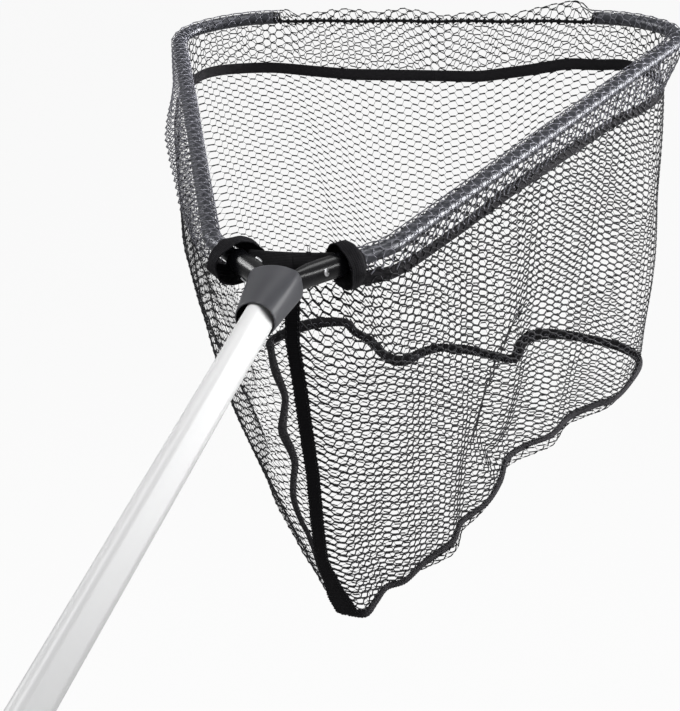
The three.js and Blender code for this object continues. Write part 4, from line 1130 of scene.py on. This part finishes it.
for side, word in SIDES.items():
    start, length = CUFF_FROM[side], CUFF_LENGTH[side]
    steps = np.linspace(1, length - 1, 14)
    shape = [(0.0, 0.0), (-0.6, 0.6), (0.0, 1.1)] + [(k, 1.0 - 0.15 * math.sin(k * 0.9)) for k in steps]
    shape += [(length, 0.8), (length, 0.2)] + [(k, -0.1) for k in steps[::-1]]
    rings = np.stack([cuff_ring(start + a, b, side) for a, b in shape])
    rows, columns = rings.shape[:2]
    index = np.arange(rows * columns).reshape(rows, columns)
    ahead, beside = np.roll(index, -1, 0), np.roll(index, -1, 1)
    quads = np.stack([index, ahead, np.roll(ahead, -1, 1), beside], -1).reshape(-1, 4)
    girth = math.pi * (CUFF_WIDE[side] + CUFF_HIGH[side])
    turn_mm = np.arange(columns) * girth / columns
    map_mm = np.stack(np.broadcast_arrays(np.array([a for a, _ in shape])[:, None], turn_mm[None]), -1)
    piece = make_piece(f"{word}_cuff_band", [(rings, quads, 0)], [knit], map_mm.reshape(-1, 2))
    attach(piece, ARMS[side])
    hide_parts(f"{word}_cuff")
    length / 1000
    print(f"{word} cuff: {girth:.0f} mm round, {length:.0f} mm long")

# %% Strap
STRAP_HALF, STRAP_WIDTH = 31.0, 12.6
BACKWARDS = np.array([0.0, -1.0, 0.0])
LOOSE_ENDS = np.array([
    [(12, 33.2, 3), (12.6, 32.8, 8.5), (11.6, 32.6, 12.5)],
    [(14, 33.2, 3), (13.6, 32.8, 8), (14.8, 32.6, 11)]])

for side, word in SIDES.items():
    x = np.linspace(0, STRAP_HALF, 18)
    z = -1.0 - 0.8 * np.cos(x / STRAP_HALF * math.pi / 2)
    path = np.stack([side * x, np.full_like(x, STRAP_MIDDLE), z], -1)
    face, lean = (np.tile(way, (len(path), 1)) for way in (BACKWARDS, UP))
    for piece in tape_piece(f"{word}_strap_band", path, face, lean, STRAP_WIDTH, TAPE_THICK, ["rear_strap"],
                            strap_web):
        fold_with_arm(piece, side)
piece = make_piece("strap_loose_ends", [(*threads(LOOSE_ENDS, (0.3, 0.3, 0.15), BACKWARDS), 0)], [bar_yarn])
fold_with_arm(piece, 1)

# %% [markdown]
# ## Arms
# The arms are tubes, bent and coated, pushed into glossy plastic roots and riveted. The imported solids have
# flat facets, which show as bands on a glossy tube, so the tube is swept again with many sides, and a
# rounded plug closes its tip. The roots are a row of ellipses that grow and turn from the hub to the tube.

# %% Arm tubes and tips
TUBE_RADIUS, TUBE_SIDES, CAP_SIDES = 5.6, 40, 32
PLUG_CAP = 5.0
TUBE_END = ARM_LENGTH - PLUG_CAP - 0.3


def round_bar(distance, side, outline, sides):
    """A bar along the rim, with this outline."""
    point, out, _ = rim(distance, side)
    body = sweep(point, out, np.tile(UP, (len(point), 1)), outline)
    return [(body, capped(len(point), sides), 0)]


for side, word in SIDES.items():
    distance = np.concatenate([np.arange(0, TUBE_END, 3.0), [TUBE_END]])
    chunks = round_bar(distance, side, circle(TUBE_RADIUS, TUBE_SIDES), TUBE_SIDES)
    rigid_piece(f"{word}_arm_bar", chunks, [black_tube], ARMS[side], f"{word}_arm_tube")
    ends = np.linspace(0, 1, 9)
    distance = np.concatenate([[TUBE_END + 0.02], ARM_LENGTH - PLUG_CAP + ends * PLUG_CAP])
    radii = TUBE_RADIUS * np.concatenate([[1.0], 1 - 0.45 * ends**3])
    chunks = round_bar(distance, side, circle(1, CAP_SIDES)[None] * radii[:, None, None], CAP_SIDES)
    rigid_piece(f"{word}_tip_cap", chunks, [black_plastic], ARMS[side], f"{word}_tip_plug")

# %% Arm roots
def ellipse_ring(x, y, angle, half_width, half_height, side, sides=40):
    turn = turns(sides)
    out = right_of(angle)
    across = half_width * np.cos(turn)
    return np.stack([side * (x + out[0] * across), y + out[1] * across, half_height * np.sin(turn)], -1)


ROOT_RINGS = [
    (9.2, -10.0, 0.30, 5.2, 6.8), (10.5, -3.0, 0.48, 4.7, 7.3), (14.1, 3.5, 0.80, 6.5, 7.7),
    (18.9, 10.3, 1.0, 8.2, 8.2), (26.4, 17.5, 1.0, 8.2, 8.2), (37.9, 28.6, 1.0, 8.2, 8.2),
    (38.4, 29.1, 1.0, 7.9, 7.9), (38.7, 29.4, 1.0, 7.0, 7.0), (38.7, 29.4, 1.0, 5.9, 5.9)]

for side, word in SIDES.items():
    table = np.array(ROOT_RINGS)
    stops = np.concatenate([np.linspace(0, 5, 41), [6, 7, 8]])
    fine = read_rows(stops, np.arange(len(table)), table)
    soft = fine.copy()
    for i in range(4, 34):
        soft[i] = fine[i - 3:i + 4].mean(axis=0)
    rings = np.stack([ellipse_ring(x, y, share * ROOT_HEADING, w, h, side) for x, y, share, w, h in soft])
    chunks = [(rings, capped(*rings.shape[:2]), 0)]
    node = f"{word}_arm_socket"
    rigid_piece(f"{word}_arm_root", chunks, [black_plastic], ARMS[side], node)

# %% [markdown]
# ## Rivets
# A rivet holds each tube in its root, and another sits near each tip. Only the heads are seen, and each is a
# shallow dome with a punched dimple: a profile of a few points turned round the rivet's axis, as a lathe
# would turn it. A screw modifier could do that, but here both heads of a rivet come from one loop.

# %% Rivet heads
ROOT_RIVET_AT, TIP_RIVET_BACK, RIVET_SIDES = 4.5, 13.0, 28
RIVET_AXIS = {1: (0.88, 0.42, 0.22), -1: (0.70, 0.10, -0.70)}


def rivet_heads(centre, axis, seat, radius):
    """Two domed heads with a punched dimple, one at each end of the rivet."""
    axis = unit(np.asarray(axis, float))
    first = unit(np.cross(axis, (0.3, 0.5, 0.8)))
    second = np.cross(axis, first)
    profile = [(1.0, -0.2), (1.02, 0.1), (0.92, 0.32), (0.62, 0.52), (0.46, 0.55), (0.36, 0.40), (0.0, 0.36)]
    chunks = []
    for sign in (1, -1):
        turn = turns(RIVET_SIDES)[:, None] * sign
        spokes = np.cos(turn) * first + np.sin(turn) * second
        rings = [centre + axis * sign * (seat + h * radius * 0.55) + radius * r * spokes for r, h in profile]
        chunks.append((np.stack(rings), capped(len(profile), RIVET_SIDES), 0))
    return chunks


for side, word in SIDES.items():
    (centre,), (out,), (along,) = rim(np.array([ROOT_RIVET_AT]), side)
    axis = sum(share * way for share, way in zip(RIVET_AXIS[side], (out, along, UP)))
    (tip,), _, _ = rim(np.array([TUBE_END - TIP_RIVET_BACK]), side)
    root_heads = rivet_heads(centre, axis, seat=8.6, radius=2.8)
    tip_heads = rivet_heads(tip, UP, seat=TUBE_RADIUS, radius=2.4)
    rigid_piece(f"{word}_root_rivet", root_heads, [steel], ARMS[side], f"{word}_socket_rivet")
    rigid_piece(f"{word}_tip_eyelet", tip_heads, [steel], ARMS[side], f"{word}_tip_rivet")

# %% [markdown]
# ## Front cord
# Between the arm tips the rim is only a cord, and the netting is tied on along it. It is swept in two halves,
# one for each arm, and thickens into about one small knot for each column of the netting. A bump in the
# finish would not show there, because against a white background it is the outline that counts.

# %% Front cord
CORD_RADIUS, CORD_SIDES, CORD_HALF = 1.8, 10, 156
for side, word in SIDES.items():
    x = np.concatenate([np.arange(0, CORD_HALF, 0.8), [CORD_HALF]])
    path = np.stack([side * x, np.full_like(x, FRONT_REACH), -3.0 - 0.4 * np.cos(x / 11)], -1)
    knots = np.maximum(0, np.cos(x * 2 * math.pi / COLUMN + 0.9 * np.sin(x / 15))) ** 2
    outline = circle(CORD_RADIUS, CORD_SIDES)[None] * (0.75 + 0.95 * knots)[:, None, None]
    body = sweep(path, np.tile([0, 1.0, 0], (len(x), 1)), np.tile(UP, (len(x), 1)), outline)
    piece = make_piece(f"{word}_front_cord", [(body, capped(len(x), CORD_SIDES), 0)], [bar_yarn])
    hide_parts("front_cord")
    fold_with_arm(piece, side, lambda points: np.ones(len(points)))
print("front cord", 2 * CORD_HALF, "mm in all")

# %% [markdown]
# ## Lock sleeve
# The grey sleeve slides on the pole and locks the arms open. Its back is round and its mouth is wide, with
# flat sides and an arch above and below, so it is a loft from a circle to that outline. It could be a thin
# shape with a solidify modifier; two skins instead, one outside and round the lips and one inside, let the
# wall taper and the inside be black. That black is painted shade: the grey plastic inside lies in deep shade.

# %% Sleeve
SLEEVE_BACK, SLEEVE_FRONT = -55.0, -5.0
SLEEVE_WALL, SLEEVE_ROUND, SLEEVE_SIDES = 2.0, 13.7, 96
MOUTH_SIDE, MOUTH_SIDE_HEIGHT, MOUTH_TOP = 18.4, 9.0, 14.6


def mouth_radius(turn):
    """How far the mouth reaches from the middle: an arch above and below, flat at the sides."""
    lean = np.arcsin(np.abs(np.sin(turn)))
    rise = MOUTH_TOP - MOUTH_SIDE_HEIGHT
    arch = (MOUTH_SIDE**2 + rise**2) / (2 * rise)
    middle = MOUTH_TOP - arch
    top = middle * np.sin(lean) + np.sqrt(np.maximum(arch**2 - (middle * np.cos(lean)) ** 2, 0))
    side = MOUTH_SIDE / np.maximum(np.cos(lean), 1e-3)
    blend = 9.0
    return (top**-blend + side**-blend) ** (-1 / blend) * 1.03


def sleeve_ring(y, inset, sides=SLEEVE_SIDES):
    turn = turns(sides)
    t = np.clip((y - SLEEVE_BACK) / (SLEEVE_FRONT - SLEEVE_BACK), 0, 1)
    reach = lerp(SLEEVE_ROUND, mouth_radius(turn), t) - inset
    return np.stack([reach * np.cos(turn), np.full(sides, y), reach * np.sin(turn)], -1)


back_lip = [(-55.0, 0.9), (-55.0, 0.5), (-54.7, 0.1), (-54.0, 0.0)]
front_lip = [(-5.5, 0.2), (-5.0, 0.8), (-5.0, 1.4), (-5.4, 2.0)]
outside = back_lip + [(y, 0.0) for y in np.linspace(-53.0, -6.4, 26)] + front_lip
bore = [(y, lerp(0.9, SLEEVE_WALL, (y - SLEEVE_BACK) / 47)) for y in np.linspace(-8, -54.6, 14)]
inside = front_lip[-1:] + bore + back_lip[:1]
chunks = []
for number, profile in enumerate((outside, inside)):
    rings = np.stack([sleeve_ring(y, inset) for y, inset in profile])
    chunks.append((rings, skin(len(profile), SLEEVE_SIDES)[:, ::-1], number))
# The inside skin is black as painted shade; the grey plastic there lies in deep shade.
finishes = [grey_plastic, black_plastic]
rigid_piece("lock_sleeve_shell", chunks, finishes, "sleeve", "lock_sleeve")

# %% [markdown]
# ## Pole and handle
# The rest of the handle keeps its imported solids. They are fine as shapes, so they only get a finish and a
# modifier that smooths the shading across their small facets while sharp edges stay sharp.

# %% Smooth shading for carried-over solids
def shade_group(angle):
    group = bpy.data.node_groups.new("smooth_shading", "GeometryNodeTree")
    group.interface.new_socket("Geometry", in_out="INPUT", socket_type="NodeSocketGeometry")
    group.interface.new_socket("Geometry", in_out="OUTPUT", socket_type="NodeSocketGeometry")
    nodes, links = group.nodes, group.links
    first, last = nodes.new("NodeGroupInput"), nodes.new("NodeGroupOutput")
    weld = nodes.new("GeometryNodeMergeByDistance")
    weld.inputs["Distance"].default_value = 1e-6
    faces, edges = nodes.new("GeometryNodeSetShadeSmooth"), nodes.new("GeometryNodeSetShadeSmooth")
    edges.domain = "EDGE"
    bend, compare = nodes.new("GeometryNodeInputMeshEdgeAngle"), nodes.new("FunctionNodeCompare")
    compare.operation = "LESS_THAN"
    compare.inputs["B"].default_value = angle
    links.new(bend.outputs["Unsigned Angle"], compare.inputs["A"])
    links.new(first.outputs[0], weld.inputs["Geometry"])
    links.new(weld.outputs[0], faces.inputs["Geometry"])
    links.new(faces.outputs[0], edges.inputs["Geometry"])
    links.new(compare.outputs[0], edges.inputs["Shade Smooth"])
    links.new(edges.outputs[0], last.inputs[0])
    return group


smooth_shading = shade_group(math.radians(32))
CARRIED = {
    "inner_tube": aluminium, "outer_tube": aluminium, "hand_grip": foam, "guide_bush": black_plastic,
    "lock_collet": black_plastic, "lock_nut": black_plastic, "end_cap": black_plastic,
    "hub_core": black_plastic, "hub_pin": steel, "left_pivot_pin": steel, "right_pivot_pin": steel}
for name, finish in CARRIED.items():
    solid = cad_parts[name]
    solid.data.materials.clear()
    solid.data.materials.append(finish)
    solid.modifiers.new("smooth_shading", "NODES").node_group = smooth_shading
print("carried over:", ", ".join(CARRIED))

# %% [markdown]
# ## Studio
# The net is shown on white. A large pale floor well below it keeps a faint shadow. The floor and the world
# look almost white to the camera, while the light that the world gives to the net stays low; turning the
# lamps up until the background is white would wash out the pole.

# %% Floor and world
FLOOR_ACROSS, FLOOR_MIDDLE = 24, (0, 0.6, -0.95)
FLOOR_GLOW = 0.92
WORLD_SEEN, WORLD_LIGHT = 0.67, 0.30


def seen_directly(nodes):
    """1 for what the camera sees, also through a clear surface, and 0 for the light that falls on the net."""
    path = nodes.add("ShaderNodeLightPath").socket.node
    camera_ray = Value(nodes, path.outputs["Is Camera Ray"])
    clear_ray = Value(nodes, path.outputs["Is Transmission Ray"])
    return (camera_ray + clear_ray).at_most(1.0)


f = Finish("pale_floor")
f.surface(Base_Color=f.mix(colour(0.86, 0.86, 0.86), colour(0.9, 0.9, 0.9), f.noise(8, 2)), Roughness=0.9)
glow = f.add("ShaderNodeEmission", {}, {"Color": colour(1, 1, 1), "Strength": 1.0})
share = seen_directly(f) * FLOOR_GLOW
both = f.add("ShaderNodeMixShader", {}, {0: share, 1: Value(f, f.shader.outputs[0]), 2: glow})
f.fill(f.tree.nodes["Material Output"], {"Surface": both})
bpy.ops.mesh.primitive_plane_add(size=FLOOR_ACROSS, location=FLOOR_MIDDLE)
floor = bpy.context.object
floor.name = "studio_floor"
floor.data.materials.append(f.material)

world = bpy.data.worlds.new("studio")
bpy.context.scene.world = world
world.use_nodes = True
sky = Nodes(world.node_tree)
strength = seen_directly(sky) * WORLD_SEEN + WORLD_LIGHT
sky.fill(world.node_tree.nodes["Background"], {"Color": colour(1, 1, 1), "Strength": strength})
print("floor", FLOOR_ACROSS, "m wide,", -FLOOR_MIDDLE[2], "m below the arms")

# %% [markdown]
# ## Lamps
# A softbox far out on the right, level with the arms, puts the long pale stripe on the right arm. Its beam is
# kept narrow with the lamp's spread, because the pole would clip to white in it. A small fill on each side
# and a strip overhead round off the forms, and two faint narrow strips only draw a highlight on the sleeve
# and on the left root.

# %% Lamps
def lamp(name, place, aim, along, size, power, spread=180):
    """A rectangular lamp that faces aim, with its first side in the direction along."""
    data = bpy.data.lights.new(name, "AREA")
    data.shape, data.size, data.size_y, data.energy = "RECTANGLE", size[0], size[1], power
    data.spread = math.radians(spread)
    light = bpy.data.objects.new(name, data)
    place, along = Vector(place), Vector(along)
    back = (place - Vector(aim)).normalized()
    side = (along - back * back.dot(along)).normalized()
    axes = Matrix((side, back.cross(side), back)).transposed().to_4x4()
    light.matrix_world = Matrix.Translation(place) @ axes
    bpy.context.collection.objects.link(light)
    print(f"{name}: {power} W, {size[0]} x {size[1]} m")


lamp("right_softbox", place=(1.53, 1.72, -0.02), aim=(0.15, 1.5, 0.0), along=(0.36, 0.93, 0),
     size=(0.85, 1.6), power=13, spread=46)
lamp("right_fill", place=(1.3, 0.42, 0.8), aim=(0.0, 0.87, 0.0), along=(0, 1, 0),
     size=(0.28, 0.28), power=4.0)
lamp("hub_strip", place=(1.4, 2.27, 0.05), aim=(0.0, 0.87, 0.0), along=(0, 0, 1),
     size=(0.9, 0.5), power=0.2, spread=30)
lamp("root_strip", place=(-1.08, 1.45, 0.93), aim=(-0.028, 0.895, 0.0), along=(0, 1, 0),
     size=(0.6, 0.45), power=0.1, spread=14)
lamp("left_fill", place=(-1.35, 1.2, 0.8), aim=(0.0, 0.9, 0.0), along=(0, 1, 0),
     size=(0.42, 0.42), power=8)
lamp("overhead_strip", place=(0.2, 1.6, 1.9), aim=(0.2, 1.6, 0.0), along=(0, 1, 0),
     size=(2.2, 0.6), power=14)

# %% [markdown]
# ## Colour view
# The picture is shown with the standard view transform. Cloth may stand a little proud of the
# imported solids, but the dressed net must keep their size.

# %% Finish
bpy.context.scene.view_settings.view_transform = "Standard"
bpy.context.view_layer.update()
